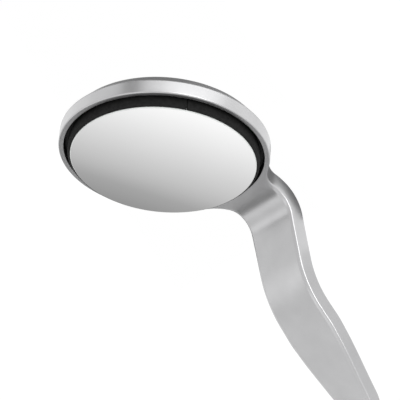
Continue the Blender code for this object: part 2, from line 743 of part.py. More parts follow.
def make_rotor():
    """Everything that spins: spindle, clip, steel plate, magnet, edge band, adhesive and mirror."""
    spindle = [
        (0.0, -ROTOR_TOP - SEAT),
        (SPINDLE_RADIUS, -ROTOR_TOP - SEAT),
        (SPINDLE_RADIUS, -ROTOR_BOTTOM - GAP),
        (SPINDLE_SHOULDER, -ROTOR_BOTTOM - GAP),
        (SPINDLE_SHOULDER, -BEARING_TOP + GAP),
        (SPINDLE_RADIUS, -BEARING_TOP + GAP),
        (SPINDLE_RADIUS, -CLIP_TOP),
        (CLIP_NECK, -CLIP_TOP),
        (CLIP_NECK, -CLIP_BOTTOM),
        (SPINDLE_RADIUS, -CLIP_BOTTOM),
        (SPINDLE_RADIUS, -SPINDLE_TIP),
        (0.0, -SPINDLE_TIP),
    ]
    turned("spindle", spindle, HEAD, STEEL, BEARING_STEPS)
    low, high = -CLIP_BOTTOM + SEAT, -CLIP_TOP - SEAT
    clip = tube("spindle_clip", CLIP_RADIUS, CLIP_NECK + SEAT, low, high, HEAD, STEEL, BEARING_STEPS)
    near, far = (0.0, -CLIP_MOUTH_HALF, low - EDGE), (2 * CLIP_RADIUS, CLIP_MOUTH_HALF, high + EDGE)
    cut(clip, box("clip_mouth", near, far, HEAD, None))
    bore = SPINDLE_RADIUS + SEAT
    tube("rotor_plate", MIRROR_RADIUS, bore, -ROTOR_BOTTOM, -ROTOR_TOP, HEAD, STEEL, WIDE_STEPS)
    tube("ring_magnet", MAGNET_RADIUS, MAGNET_BORE, -MAGNET_BOTTOM, -MAGNET_TOP, HEAD, MAGNET, WIDE_STEPS)
    band = tube("rotor_band", BAND_RADIUS, BAND_BORE, -ROTOR_BOTTOM, BAND_TOP, HEAD, BAND, WIDE_STEPS)
    joint = add_empty("band_joint_axis", HEAD.matrix_world @ Matrix.Rotation(BAND_JOINT, 4, "Z"))
    near, far, half = MIRROR_RADIUS - EDGE, BAND_RADIUS + EDGE, BAND_SLIT / 2
    cut(band, box("band_slit", (near, -half, -ROTOR_BOTTOM - EDGE), (far, half, PAST), joint, None))
    rod("mirror_adhesive", PAD_RADIUS, 0.0, MIRROR_FACE - GLASS_THICKNESS - SEAT, HEAD, PAD, WIDE_STEPS)
    glass = [
        (0.0, MIRROR_FACE),
        (MIRROR_RADIUS - EDGE, MIRROR_FACE),
        (MIRROR_RADIUS, MIRROR_FACE - EDGE),
        (MIRROR_RADIUS, MIRROR_FACE - GLASS_THICKNESS),
        (0.0, MIRROR_FACE - GLASS_THICKNESS),
    ]
    turned("mirror_glass", glass, HEAD, MIRROR, WIDE_STEPS)


def aside(distance):
    """The handle's axis moved sideways."""
    return TURNING.matrix_world @ Matrix.Translation((0.0, distance, 0.0))


def make_plug():
    """The flexible cable down the neck and the plug at the end of the stem."""
    ramp = [(u, FLEX_TOP - depth, 0.0, FLEX_HALF) for u, depth in FLEX_RAMP]
    end = NECK_END + PLUG_START - NECK_END_X - FLEX_END_GAP
    stations = ramp + neck_stations(STRIP_START, end, FLEX_HALF, 32)
    strip("flex_cable", stations, FLEX_TOP, FLEX_BOTTOM, FILM)
    for k, ring in enumerate(STEM_RINGS):
        outer, inner = NOSE_BORE - 1.5 * SEAT, STEM_RADIUS - RING_DEPTH + SEAT
        low, high = ring - RING_WIDTH / 2 + SEAT, ring + RING_WIDTH / 2 - SEAT
        profile = [(outer, high - RING_BEVEL), (outer, low + RING_BEVEL), (outer - RING_BEVEL, low)]
        profile += [(inner, low), (inner, high), (outer - RING_BEVEL, high)]
        turned(f"stem_o_ring_{k + 1}", profile, TURNING, RUBBER, BEARING_STEPS, ring=True)
    plug = rod("plug_body", STEM_BORE - SEAT, PLUG_START, PLUG_END, TURNING, NYLON, FINE_STEPS)
    low, high = PLUG_START - PAST, PLUG_END + PAST
    for number, side in ((1, -1), (2, 1)):
        axis = add_empty(f"pin_axis_{number}", aside(side * PIN_OFFSET))
        cut(plug, rod(f"pin_hole_{number}", PIN_RADIUS + SEAT, low, high, axis, None, PIN_STEPS))
        pin = [
            (0.0, PIN_END),
            (PIN_RADIUS - EDGE, PIN_END),
            (PIN_RADIUS, PIN_END - EDGE),
            (PIN_RADIUS, PLUG_START + SEAT),
            (0.0, PLUG_START + SEAT),
        ]
        turned(f"plug_pin_{number}", pin, axis, GOLD, PIN_STEPS)


def flats(name, half_height, start, end):
    """Two blocks that mill the top and bottom flats of the handle."""
    for k, side in enumerate((-1, 1)):
        near, far = sorted((side * half_height, side * (half_height + PAST)))
        yield box(f"{name}_{k}", (start, -WHOLE_WIDTH / 2, near), (end, WHOLE_WIDTH / 2, far), BODY, None)


def make_nose():
    """The tapered nose with the socket for the head's plug."""
    taper = []
    near, far = NOSE_START + 2 * EDGE, BARREL_START - GAP
    for step in range(NOSE_STEPS + 1):
        t = 1 - step / NOSE_STEPS
        radius = NOSE_TIP_RADIUS + (BARREL_RADIUS - NOSE_TIP_RADIUS) * sin(t * pi / 2)
        taper.append((radius, near + (far - near) * t))
    groove = NOSE_SPIGOT - RING_DEPTH
    profile = [
        (NOSE_SPIGOT, NOSE_END),
        (NOSE_SPIGOT, NOSE_RING_END),
        (groove, NOSE_RING_END),
        (groove, NOSE_RING_START),
        (NOSE_SPIGOT, NOSE_RING_START),
        (NOSE_SPIGOT, BARREL_START - GAP),
        *taper,
        (NOSE_TIP_RADIUS - 2 * EDGE, NOSE_START),
        (NOSE_BORE, NOSE_START),
        (NOSE_BORE, NOSE_POCKET),
        (NOSE_POCKET_BORE, NOSE_POCKET),
        (NOSE_POCKET_BORE, NOSE_END),
    ]
    nose = turned("nose_cone", profile, TURNING, ALUMINIUM, ring=True)
    cut(nose, *flats("nose_flat", HANDLE_HALF_HEIGHT, NOSE_START - PAST, BARREL_START + EDGE))
    low, high = NOSE_RING_START + SEAT, NOSE_RING_END - SEAT
    tube("nose_seal", BARREL_BORE - SEAT, groove + SEAT, low, high, TURNING, RUBBER)
    socket = [
        (0.0, SOCKET_END),
        (NOSE_POCKET_BORE - SEAT, SOCKET_END),
        (NOSE_POCKET_BORE - SEAT, SOCKET_START),
        (0.0, SOCKET_START),
    ]
    body = turned("socket_body", socket, TURNING, NYLON)
    outer, inner = PIN_RADIUS + CONTACT_WALL, PIN_RADIUS + 1.5 * SEAT
    low, high = SOCKET_START - PAST, CONTACT_END
    for number, side in ((1, -1), (2, 1)):
        axis = add_empty(f"contact_axis_{number}", aside(side * PIN_OFFSET))
        cut(body, rod(f"contact_hole_{number}", outer + SEAT, low, high, axis, None, FINE_STEPS))
        name = f"socket_contact_{number}"
        tube(name, outer, inner, CONTACT_START, CONTACT_END - SEAT, axis, GOLD, FINE_STEPS)


def make_barrel():
    """The handle's tube: milled flats, ring grooves, button slot and light hole."""
    profile = [(BARREL_RADIUS - EDGE, BARREL_END), (BARREL_RADIUS, BARREL_END - EDGE)]
    for k in reversed(range(GRIP_RINGS)):
        middle = GRIP_FIRST + k * GRIP_PITCH
        profile += [
            (BARREL_RADIUS, middle + GRIP_WIDTH / 2),
            (GRIP_BORE - GAP, middle + GRIP_WIDTH / 2),
            (GRIP_BORE - GAP, middle - GRIP_WIDTH / 2),
            (BARREL_RADIUS, middle - GRIP_WIDTH / 2),
        ]
    profile += [(BARREL_RADIUS, BARREL_START), (BARREL_BORE, BARREL_START), (BARREL_BORE, BARREL_END)]
    barrel = turned("barrel", profile, TURNING, ALUMINIUM, ring=True)
    slot = extruded(
        "button_slot",
        [slot_outline(BUTTON_HALF_LENGTH + BUTTON_MARGIN, BUTTON_HALF_WIDTH + BUTTON_MARGIN, BUTTON_AT)],
        FLANGE_BOTTOM,
        BARREL_RADIUS + PAST,
        BODY,
        None,
    )
    light = add_empty("light_axis", BODY.matrix_world @ Matrix.Translation((LED_AT, 0, 0)))
    top = BARREL_RADIUS + PAST
    hole = rod("light_hole", GUIDE_RADIUS + SEAT, BUTTON_FOOT, top, light, None, BEARING_STEPS)
    cut(barrel, *flats("barrel_flat", HANDLE_HALF_HEIGHT, BARREL_START - PAST, BARREL_END + PAST), slot, hole)
    for k in range(GRIP_RINGS):
        middle = GRIP_FIRST + k * GRIP_PITCH
        low, high = middle - GRIP_WIDTH / 2 + GAP, middle + GRIP_WIDTH / 2 - GAP
        ring = tube(f"grip_ring_{k + 1}", BARREL_RADIUS - GRIP_DROP, GRIP_BORE, low, high, TURNING, RUBBER)
        cut(ring, *flats(f"grip_flat_{k}", HANDLE_HALF_HEIGHT - GRIP_DROP, low - PAST, high + PAST))
    guide = [
        (0.0, HANDLE_HALF_HEIGHT - SEAT),
        (GUIDE_RADIUS, HANDLE_HALF_HEIGHT - SEAT),
        (GUIDE_RADIUS, GUIDE_FOOT),
        (0.0, GUIDE_FOOT),
    ]
    turned("light_guide", guide, light, CLEAR, BEARING_STEPS)
    length, width, height = LED_SIZE
    rest = PCB_TOP + SEAT
    box("status_led", (-length / 2, -width / 2, rest), (length / 2, width / 2, rest + height), light, WHITE)


def make_chassis():
    """The nylon carrier for the board and the cell, with the board and what is soldered to it."""
    shell = [
        (CHASSIS_RADIUS, CHASSIS_END),
        (CHASSIS_RADIUS, CHASSIS_START),
        (CHASSIS_BORE, CHASSIS_START),
        (CHASSIS_BORE, CHASSIS_END),
    ]
    chassis = turned("chassis", shell, TURNING, NYLON, ring=True)
    bulkhead = rod("bulkhead_blank", CHASSIS_BORE + CHASSIS_OVERLAP, TRAY_END, BULKHEAD_END, TURNING, None)
    tray = box(
        "tray_cutter",
        (TRAY_START, -WHOLE_WIDTH / 2, TRAY_LEVEL),
        (TRAY_END, WHOLE_WIDTH / 2, BARREL_RADIUS + PAST),
        BODY,
        None,
    )
    join(chassis, bulkhead)
    cut(chassis, tray)
    box("circuit_board", (PCB_START, -PCB_HALF, PCB_BOTTOM), (PCB_END, PCB_HALF, PCB_TOP), BODY, BOARD)
    rest = PCB_TOP + SEAT
    near, far = (CHIP_AT - CHIP_HALF, -CHIP_HALF, rest), (CHIP_AT + CHIP_HALF, CHIP_HALF, rest + CHIP_HEIGHT)
    box("motor_driver", near, far, BODY, CHIP)
    inductor = add_empty("inductor_axis", BODY.matrix_world @ Matrix.Translation((INDUCTOR_AT, 0, 0)))
    top = rest + DRUM_HEIGHT
    drum = [
        (0.0, top),
        (DRUM_RADIUS, top),
        (DRUM_RADIUS, top - DRUM_FLANGE),
        (DRUM_WAIST, top - DRUM_FLANGE),
        (DRUM_WAIST, rest + DRUM_FLANGE),
        (DRUM_RADIUS, rest + DRUM_FLANGE),
        (DRUM_RADIUS, rest),
        (0.0, rest),
    ]
    turned("boost_inductor", drum, inductor, CHIP, FINE_STEPS)
    length, width = SWITCH_HALF
    switch = box("switch_body", (-length, -width, rest), (length, width, SWITCH_TOP), BUTTON_AXIS, CHIP)
    top = SWITCH_TOP + PAST
    cut(switch, rod("plunger_well", WELL_RADIUS, WELL_BOTTOM, top, BUTTON_AXIS, None, FINE_STEPS))
    rod("switch_plunger", PLUNGER_RADIUS, PLUNGER_BOTTOM, PLUNGER_TOP, BUTTON_AXIS, NYLON, FINE_STEPS)
    foot = BULKHEAD_END + GAP
    contact = [
        (0.0, CELL_NUB - GAP),
        (LEAF_TIP, CELL_NUB - GAP),
        (LEAF_RISE, foot + LEAF_THICKNESS),
        (LEAF_RADIUS, foot + LEAF_THICKNESS),
        (LEAF_RADIUS, foot),
        (0.0, foot),
    ]
    turned("battery_contact", contact, TURNING, GOLD, FINE_STEPS)


def make_button():
    """The power button, its retaining flange and foot, and the gasket round it."""
    button = extruded(
        "power_button",
        [slot_outline(BUTTON_HALF_LENGTH, BUTTON_HALF_WIDTH)],
        FLANGE_TOP - EDGE,
        BUTTON_TOP,
        BUTTON_AXIS,
        RUBBER,
    )
    flange = extruded(
        "button_flange",
        [slot_outline(BUTTON_HALF_LENGTH + FLANGE_MARGIN, BUTTON_HALF_WIDTH + FLANGE_MARGIN)],
        FLANGE_BOTTOM,
        FLANGE_TOP,
        BUTTON_AXIS,
        None,
    )
    middle = (FLANGE_BOTTOM + FLANGE_TOP) / 2
    foot = rod("button_foot", BUTTON_FOOT_RADIUS, BUTTON_FOOT, middle, BUTTON_AXIS, None, FINE_STEPS)
    join(button, flange, foot)
    outlines = [
        slot_outline(BUTTON_HALF_LENGTH + margin, BUTTON_HALF_WIDTH + margin)
        for margin in (FLANGE_MARGIN - BUTTON_MARGIN, BUTTON_MARGIN)
    ]
    extruded("button_seal", outlines, FLANGE_TOP + GAP, BUTTON_SEAL_TOP, BUTTON_AXIS, RUBBER)


def make_cell():
    """One cylindrical dry cell: steel can with its positive nub, and the printed jacket round it."""
    can = [
        (0.0, CELL_END),
        (CAN_RADIUS, CELL_END),
        (CAN_RADIUS, CELL_START),
        (NUB_RADIUS, CELL_START),
        (NUB_RADIUS, CELL_NUB),
        (0.0, CELL_NUB),
    ]
    turned("battery_cell", can, TURNING, STEEL)
    low, high = CELL_START + JACKET_INSET, CELL_END - JACKET_INSET
    tube("battery_jacket", JACKET_RADIUS, CAN_RADIUS + SEAT, low, high, TURNING, JACKET)


def make_cap():
    """The fluted cap at the tail, with a socket for its threaded insert."""
    profile = [
        (0.0, CAP_END),
        (CAP_RADIUS - 2.5 * CAP_CHAMFER, CAP_END),
        (CAP_RADIUS - CAP_CHAMFER, CAP_END - 0.6 * CAP_CHAMFER),
        (CAP_RADIUS, CAP_END - 2 * CAP_CHAMFER),
        (CAP_RADIUS, CAP_HEAD_START + 2 * EDGE),
        (CAP_RADIUS - 2 * EDGE, CAP_HEAD_START),
        (CAP_SOCKET, CAP_HEAD_START),
        (CAP_SOCKET, CAP_SOCKET_END),
        (0.0, CAP_SOCKET_END),
    ]
    cap = turned("battery_cap", profile, TURNING, ALUMINIUM)
    for k in range(CAP_FLUTES):
        angle = 2 * pi * (k + 0.5) / CAP_FLUTES
        place = Matrix.Translation((FLUTE_REACH * cos(angle), FLUTE_REACH * sin(angle), 0.0))
        axis = add_empty(f"flute_axis_{k}", TURNING.matrix_world @ place)
        cut(cap, rod(f"flute_{k}", FLUTE_RADIUS, FLUTE_START, CAP_END + PAST, axis, None, FLUTE_STEPS))


def make_cap_insert():
    """The steel insert pressed into the cap: the threaded, sealed spigot, with the spring's contact plate."""
    groove = CAP_SPIGOT - RING_DEPTH
    profile = [
        (0.0, CAP_STUB_END),
        (CAP_SOCKET - SEAT, CAP_STUB_END),
        (CAP_SOCKET - SEAT, CAP_SPIGOT_END),
        (CAP_SPIGOT, CAP_SPIGOT_END),
        (CAP_SPIGOT, CAP_RING_END),
        (groove, CAP_RING_END),
        (groove, CAP_RING_START),
        (CAP_SPIGOT, CAP_RING_START),
        (CAP_SPIGOT, CAP_SPIGOT_START),
        (CAP_HOLLOW, CAP_SPIGOT_START),
        (CAP_HOLLOW, CAP_HOLLOW_END),
        (0.0, CAP_HOLLOW_END),
    ]
    turned("cap_insert", profile, TURNING, STEEL)
    low, high = CAP_RING_START + SEAT, CAP_RING_END - SEAT
    tube("cap_o_ring", BARREL_BORE - 2.5 * SEAT, groove + SEAT, low, high, TURNING, RUBBER)
    low, high = CAP_HOLLOW_END - CAP_PLATE, CAP_HOLLOW_END - GAP
    rod("cap_contact", CAP_HOLLOW - CAP_PLATE_MARGIN, low, high, TURNING, GOLD)
    make_spring(CELL_END + SPRING_WIRE + SPRING_GAP, low - SPRING_WIRE - GAP)


def make_spring(start, end):
    """The conical spring between the cell and the contact plate: a wire along a widening helix."""
    curve = bpy.data.curves.new("cap_spring", "CURVE")
    curve.dimensions = "3D"
    curve.bevel_depth = SPRING_WIRE
    curve.bevel_resolution = 0
    curve.use_fill_caps = True
    points = []
    for t in np.linspace(0.0, 1.0, SPRING_TURNS * SPRING_POINTS + 1):
        angle = 2 * pi * SPRING_TURNS * t
        radius = SPRING_NEAR + (SPRING_FAR - SPRING_NEAR) * t
        points += [radius * cos(angle), radius * sin(angle), start + (end - start) * t, 1.0]
    spline = curve.splines.new("POLY")
    spline.points.add(SPRING_TURNS * SPRING_POINTS)
    spline.points.foreach_set("co", points)
    spring = bpy.data.objects.new("cap_spring", curve)
    PARTS.objects.link(spring)
    spring.parent = TURNING
    curve.materials.append(STEEL)


make_head_frame()
make_head_covers()
make_stator()
make_bearing()
make_rotor()
make_plug()
make_nose()
make_barrel()
make_chassis()
make_button()
make_cell()
make_cap()
make_cap_insert()
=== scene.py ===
"""Looks of a powered mouth mirror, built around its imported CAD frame.

The outer pieces are made again as smooth surfaces: the one-piece head frame with its S-shaped neck, the coned
back, the glass and its edge band, and the handle with its rings, button, light guide, nose and screw cap. The
pieces inside keep their CAD shapes and get real finishes. Lengths are millimetres until a mesh is made; the
studio's are metres.
"""

import json
import logging
from collections.abc import Iterable, Sequence
from dataclasses import dataclass, field
from enum import Enum

import bmesh
import bpy
import numpy as np
from mathutils import Matrix, Vector


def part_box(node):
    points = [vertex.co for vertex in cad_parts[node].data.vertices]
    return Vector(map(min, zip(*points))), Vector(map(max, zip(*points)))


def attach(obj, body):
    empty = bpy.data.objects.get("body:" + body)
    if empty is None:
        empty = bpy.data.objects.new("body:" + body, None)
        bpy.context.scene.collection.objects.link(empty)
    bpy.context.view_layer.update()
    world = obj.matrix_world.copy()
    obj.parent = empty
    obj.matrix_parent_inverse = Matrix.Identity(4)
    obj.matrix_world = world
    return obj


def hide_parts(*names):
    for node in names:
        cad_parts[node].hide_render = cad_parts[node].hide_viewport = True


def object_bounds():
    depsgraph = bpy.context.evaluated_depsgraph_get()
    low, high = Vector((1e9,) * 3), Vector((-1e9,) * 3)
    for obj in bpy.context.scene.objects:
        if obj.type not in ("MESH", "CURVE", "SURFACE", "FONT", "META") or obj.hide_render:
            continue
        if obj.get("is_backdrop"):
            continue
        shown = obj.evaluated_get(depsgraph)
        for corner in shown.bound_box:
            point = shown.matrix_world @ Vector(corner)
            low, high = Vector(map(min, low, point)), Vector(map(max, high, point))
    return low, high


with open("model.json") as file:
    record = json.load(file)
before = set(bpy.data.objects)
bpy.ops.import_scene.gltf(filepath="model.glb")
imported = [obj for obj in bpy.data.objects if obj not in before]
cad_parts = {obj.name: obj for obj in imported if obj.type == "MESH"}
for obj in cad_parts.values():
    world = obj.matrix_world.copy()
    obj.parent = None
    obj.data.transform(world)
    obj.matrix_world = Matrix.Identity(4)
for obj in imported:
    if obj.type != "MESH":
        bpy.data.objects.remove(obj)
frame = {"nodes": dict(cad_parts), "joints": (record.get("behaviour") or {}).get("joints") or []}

MM = 0.001
LOG = logging.getLogger("mouth_mirror")
# A wave texture's scale, times the length of one wave.
WAVE_SCALE = 0.1
Array = np.ndarray
Stop = tuple[float, str]
Colour = tuple[float, float, float, float]
Pair = tuple[float, float]
Triple = tuple[float, float, float]
Tree = bpy.types.NodeTree
Node = bpy.types.Node


# ---------------------------------------------------------------- places


@dataclass(frozen=True)
class Place:
    """A right-handed working frame in the row: an origin and three axes, in millimetres."""

    origin: Array
    x: Array
    y: Array
    z: Array

    def put(self, points: Array) -> Array:
        """Local points, three numbers each along the last axis, in the row frame."""
        return self.origin + points @ np.stack([self.x, self.y, self.z])


def joint_named(name: str) -> dict:
    """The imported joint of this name."""
    return next(joint for joint in frame["joints"] if joint["name"] == name)


def handle_height() -> float:
    """Height of the handle's axis above the table."""
    return joint_named("cap_turn")["pos_m"][2] / MM


def head_place() -> Place:
    """Origin in the middle of the rim's front plane, x to the neck, z along the spin axis."""
    spin = joint_named("mirror_spin")
    axis = np.array(spin["axis"])
    side = np.array([0.0, -1.0, 0.0])
    return Place(np.array(spin["pos_m"]) / MM, np.cross(side, axis), side, axis)


def turning_place() -> Place:
    """Origin under the glass on the handle's axis, z from there to the tail, x up."""
    origin = np.array([joint_named("mirror_spin")["pos_m"][0] / MM, 0.0, handle_height()])
    return Place(origin, np.array([0.0, 0.0, 1.0]), np.array([0.0, -1.0, 0.0]), np.array([-1.0, 0.0, 0.0]))


def along_handle(node: str) -> tuple[float, float]:
    """Where a node starts and ends, measured back along the handle from the glass."""
    low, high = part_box(node)
    start = joint_named("mirror_spin")["pos_m"][0]
    return (start - high.x) / MM, (start - low.x) / MM


# ---------------------------------------------------------------- surfaces


def rounded(corners: Sequence[tuple[float, float, float]], steps: int = 6) -> Array:
    """An open outline through corners (x, y, radius), each corner cut by an arc of its radius.

    Formula: the arc leaves each leg at radius * tan(half the turn) from the corner, and runs about the point
    on the corner's bisector at radius / cos(half the turn).

    Args:
        corners: the outline's corners in order; the radius of the first and last is ignored.
        steps: how many pieces each arc has.
    Returns:
        The points, one row each.
    """
    points = np.array([(x, y) for x, y, _ in corners], float)
    found = [points[:1]]
    for k in range(1, len(points) - 1):
        radius = corners[k][2]
        before, after = points[k] - points[k - 1], points[k + 1] - points[k]
        before, after = before / np.linalg.norm(before), after / np.linalg.norm(after)
        turn = np.arctan2(before[0] * after[1] - before[1] * after[0], before @ after)
        if radius == 0.0 or abs(turn) < 1e-6:
            found.append(points[k : k + 1])
            continue
        start = points[k] - before * radius * np.tan(abs(turn) / 2)
        normal = np.array([-before[1], before[0]]) * np.sign(turn)
        angle = np.linspace(0.0, abs(turn), steps + 1)[:, None]
        found.append(start + radius * (before * np.sin(angle) + normal * (1 - np.cos(angle))))
    found.append(points[-1:])
    return np.concatenate(found)


class Skin:
    """Grids of points collected into one closed mesh."""

    def __init__(self) -> None:
        """Starts empty."""
        self.points: list[Array] = []
        self.faces: list[Array] = []
        self.count = 0

    def add(self, grid: Array, wrap_rows: bool = False, wrap_columns: bool = False) -> "Skin":
        """Adds a grid of shape (rows, columns, 3) as quads, joined end to start where it wraps.

        Args:
            grid: the points.
            wrap_rows: whether the last row joins the first.
            wrap_columns: whether the last column joins the first.
        Returns:
            This skin.
        """
        rows, columns = grid.shape[:2]
        index = np.arange(rows * columns).reshape(rows, columns) + self.count
        if wrap_rows:
            index = np.concatenate([index, index[:1]])
        if wrap_columns:
            index = np.concatenate([index, index[:, :1]], axis=1)
        quads = np.stack([index[:-1, :-1], index[1:, :-1], index[1:, 1:], index[:-1, 1:]], axis=-1)
        self.points.append(grid.reshape(-1, 3))
        self.faces.append(quads.reshape(-1, 4))
        self.count += rows * columns
        return self

    def mesh(self, name: str, place: Place) -> bpy.types.Mesh:
        """Puts the skin in the row frame, joins its seams and poles and turns its faces out.

        Args:
            name: the mesh's name.
            place: the working frame that the points are in.
        Returns:
            The mesh, in metres.
        """
        mesh = bpy.data.meshes.new(name)
        points = place.put(np.concatenate(self.points)) * MM
        mesh.from_pydata(points, [], np.concatenate(self.faces))
        work = bmesh.new()
        work.from_mesh(mesh)
        bmesh.ops.remove_doubles(work, verts=work.verts, dist=0.0005 * MM)
        bmesh.ops.recalc_face_normals(work, faces=work.faces)
        work.to_mesh(mesh)
        work.free()
        return mesh


def turned_grid(profile: Array, steps: int, start: float = 0.0, sweep: float = 2 * np.pi) -> Array:
    """A profile of (radius, height) turned about z: x = radius cos(angle), y = radius sin(angle)."""
    angle = start + np.linspace(0.0, sweep, steps, endpoint=sweep < 2 * np.pi)[None, :]
    radius, height = profile[:, :1], profile[:, 1:]
    return np.stack([radius * np.cos(angle), radius * np.sin(angle), height + 0.0 * angle], axis=-1)


def turned(profile: Array, steps: int = 160, ring: bool = False) -> Skin:
    """A turned piece; a ring's profile is closed, any other's ends on the axis."""
    return Skin().add(turned_grid(profile, steps), wrap_rows=ring, wrap_columns=True)


def dome_points(radius: float, rise: float, top: float, count: int) -> list[Pair]:
    """A low dome's (radius, height) points from its middle out: a quarter of an ellipse."""
    angle = np.linspace(0.0, np.pi / 2, count)
    return [(radius * np.sin(a), top - rise * (1 - np.cos(a))) for a in angle]


def soft_minimum(a: Array, b: Array, blend: float) -> Array:
    """The smaller of two lengths, rounded where they meet: the usual cubic blend over this width."""
    nearness = np.maximum(blend - np.abs(a - b), 0.0) / blend
    return np.minimum(a, b) - nearness**3 * blend / 6


def smooth_step(x: Array) -> Array:
    """0 below 0, 1 above 1, and 3x^2 - 2x^3 between."""
    x = np.clip(x, 0.0, 1.0)
    return x * x * (3 - 2 * x)


def tube_along(path: Array, radius: float, sides: int = 14) -> Skin:
    """A round tube along a path, its circles held square to it, with domed ends.

    Formula: each circle is path + r (N cos a + B sin a), where B is the path's direction crossed with a
    fixed up direction, N is B crossed with the direction, and r falls as a quarter circle at both ends.
    """
    heading = np.gradient(path, axis=0)
    heading /= np.linalg.norm(heading, axis=1)[:, None]
    side = np.cross(heading, [0.0, 0.0, 1.0])
    side /= np.linalg.norm(side, axis=1)[:, None]
    normal = np.cross(side, heading)
    dome = np.sin(np.linspace(0.0, np.pi / 2, 5))
    size = np.concatenate([dome, np.ones(len(path)), dome[::-1]]) * radius
    back = (1 - np.cos(np.linspace(np.pi / 2, 0.0, 5))) * radius - radius
    first = path[:1] + back[:, None] * heading[:1]
    last = path[-1:] - back[::-1, None] * heading[-1:]
    middle = np.concatenate([first, path, last])
    pick = np.concatenate([np.zeros(5, int), np.arange(len(path)), np.full(5, len(path) - 1)])
    angle = np.linspace(0.0, 2 * np.pi, sides, endpoint=False)[None, :, None]
    ring = normal[pick][:, None] * np.cos(angle) + side[pick][:, None] * np.sin(angle)
    return Skin().add(middle[:, None] + size[:, None, None] * ring, wrap_columns=True)


# ---------------------------------------------------------------- finishes


def linear(hex_colour: str) -> Colour:
    """An sRGB hex value as linear red, green, blue and alpha."""
    parts = [int(hex_colour[k : k + 2], 16) / 255 for k in (0, 2, 4)]
    return *(c / 12.92 if c <= 0.04045 else ((c + 0.055) / 1.055) ** 2.4 for c in parts), 1.0


def add_node(tree: Tree, kind: str, settings: dict, links: dict | None = None) -> Node:
    """Adds one shader node.

    Args:
        tree: the material's tree.
        kind: Blender's name for the node, without ShaderNode.
        settings: values by attribute or input name; "stops" holds a colour ramp's (place, hex) pairs.
        links: output sockets by the name or number of the input that they go to.
    Returns:
        The node.
    """
    node = tree.nodes.new("ShaderNode" + kind)
    for name, value in settings.items():
        if name == "stops":
            elements = node.color_ramp.elements
            while len(elements) < len(value):
                elements.new(1.0)
            for element, (place, colour) in zip(elements, value):
                element.position = place
                element.color = linear(colour)
        elif isinstance(name, str) and hasattr(node, name):
            setattr(node, name, value)
        else:
            node.inputs[name].default_value = value
    for name, socket in (links or {}).items():
        tree.links.new(socket, node.inputs[name])
    return node


@dataclass(frozen=True)
class Finish:
    """A real material. Its grain is a fine bump, its mottle a slow change of colour and roughness."""

    name: str
    slot: str
    colour: str
    shade: str
    roughness: float
    spread: float = 0.04
    metallic: float = 0.0
    grain: float = 0.1
    bump: float = 0.004
    mottle: float = 4.0
    fixed: tuple[tuple[str, float | Colour], ...] = ()

    def noise(self, tree: Tree, size: float, detail: float = 2.0, stretch: Triple = (1, 1, 1)) -> Node:
        """Noise whose features are about this many millimetres across, stretched along the object's axes."""
        place = add_node(tree, "TexCoord", {}).outputs["Object"]
        turned_in = add_node(tree, "Mapping", {"Scale": Vector(stretch)}, {"Vector": place})
        return add_node(
            tree,
            "TexNoise",
            {"Scale": 1.0 / (size * MM), "Detail": detail, "Roughness": 0.55},
            {"Vector": turned_in.outputs["Vector"]},
        )

    def colours(self, tree: Tree) -> bpy.types.NodeSocket:
        """The colour: from shade to colour as the mottle goes."""
        noise = self.noise(tree, self.mottle)
        stops = [(0.3, self.shade), (0.7, self.colour)]
        ramp = add_node(tree, "ValToRGB", {"stops": stops}, {"Fac": noise.outputs["Fac"]})
        return ramp.outputs["Color"]

    def height(self, tree: Tree) -> bpy.types.NodeSocket:
        """The height of the surface's grain, 0 to 1."""
        return self.noise(tree, self.grain, 3.0).outputs["Fac"]

    def material(self) -> bpy.types.Material:
        """The material, made once and then found by its name."""
        known = bpy.data.materials.get(self.name)
        if known:
            return known
        material = bpy.data.materials.new(self.name)
        material.use_nodes = True
        tree = material.node_tree
        shader = tree.nodes["Principled BSDF"]
        shader.inputs["Metallic"].default_value = self.metallic
        for socket, value in self.fixed:
            shader.inputs[socket].default_value = value
        tree.links.new(self.colours(tree), shader.inputs["Base Color"])
        rough = add_node(
            tree,
            "MapRange",
            {"To Min": self.roughness - self.spread, "To Max": self.roughness + self.spread},
            {"Value": self.noise(tree, self.mottle * 0.6, 4.0).outputs["Fac"]},
        )
        tree.links.new(rough.outputs["Result"], shader.inputs["Roughness"])
        if self.bump:
            depth = {"Strength": 1.0, "Distance": self.bump * MM}
            bump = add_node(tree, "Bump", depth, {"Height": self.height(tree)})
            tree.links.new(bump.outputs["Normal"], shader.inputs["Normal"])
        return material


@dataclass(frozen=True)
class TurnedMetal(Finish):
    """Metal with fine lathe or grinding lines across its length."""

    def height(self, tree: Tree) -> bpy.types.NodeSocket:
        """Noise drawn out round the piece, so that it runs in thin lines."""
        return self.noise(tree, self.grain, 2.0, (1.0, 0.05, 0.05)).outputs["Fac"]


@dataclass(frozen=True)
class WoundWire(Finish):
    """Enamelled wire laid in rows, one wire thick to a row."""

    def height(self, tree: Tree) -> bpy.types.NodeSocket:
        """Round-topped bands, one to each wire."""
        place = add_node(tree, "TexCoord", {}).outputs["Object"]
        rings = {"wave_type": "RINGS", "rings_direction": "SPHERICAL", "Distortion": 0.4}
        rings["Scale"] = WAVE_SCALE / (self.grain * MM)
        wave = add_node(tree, "TexWave", rings, {"Vector": place})
        return wave.outputs["Fac"]


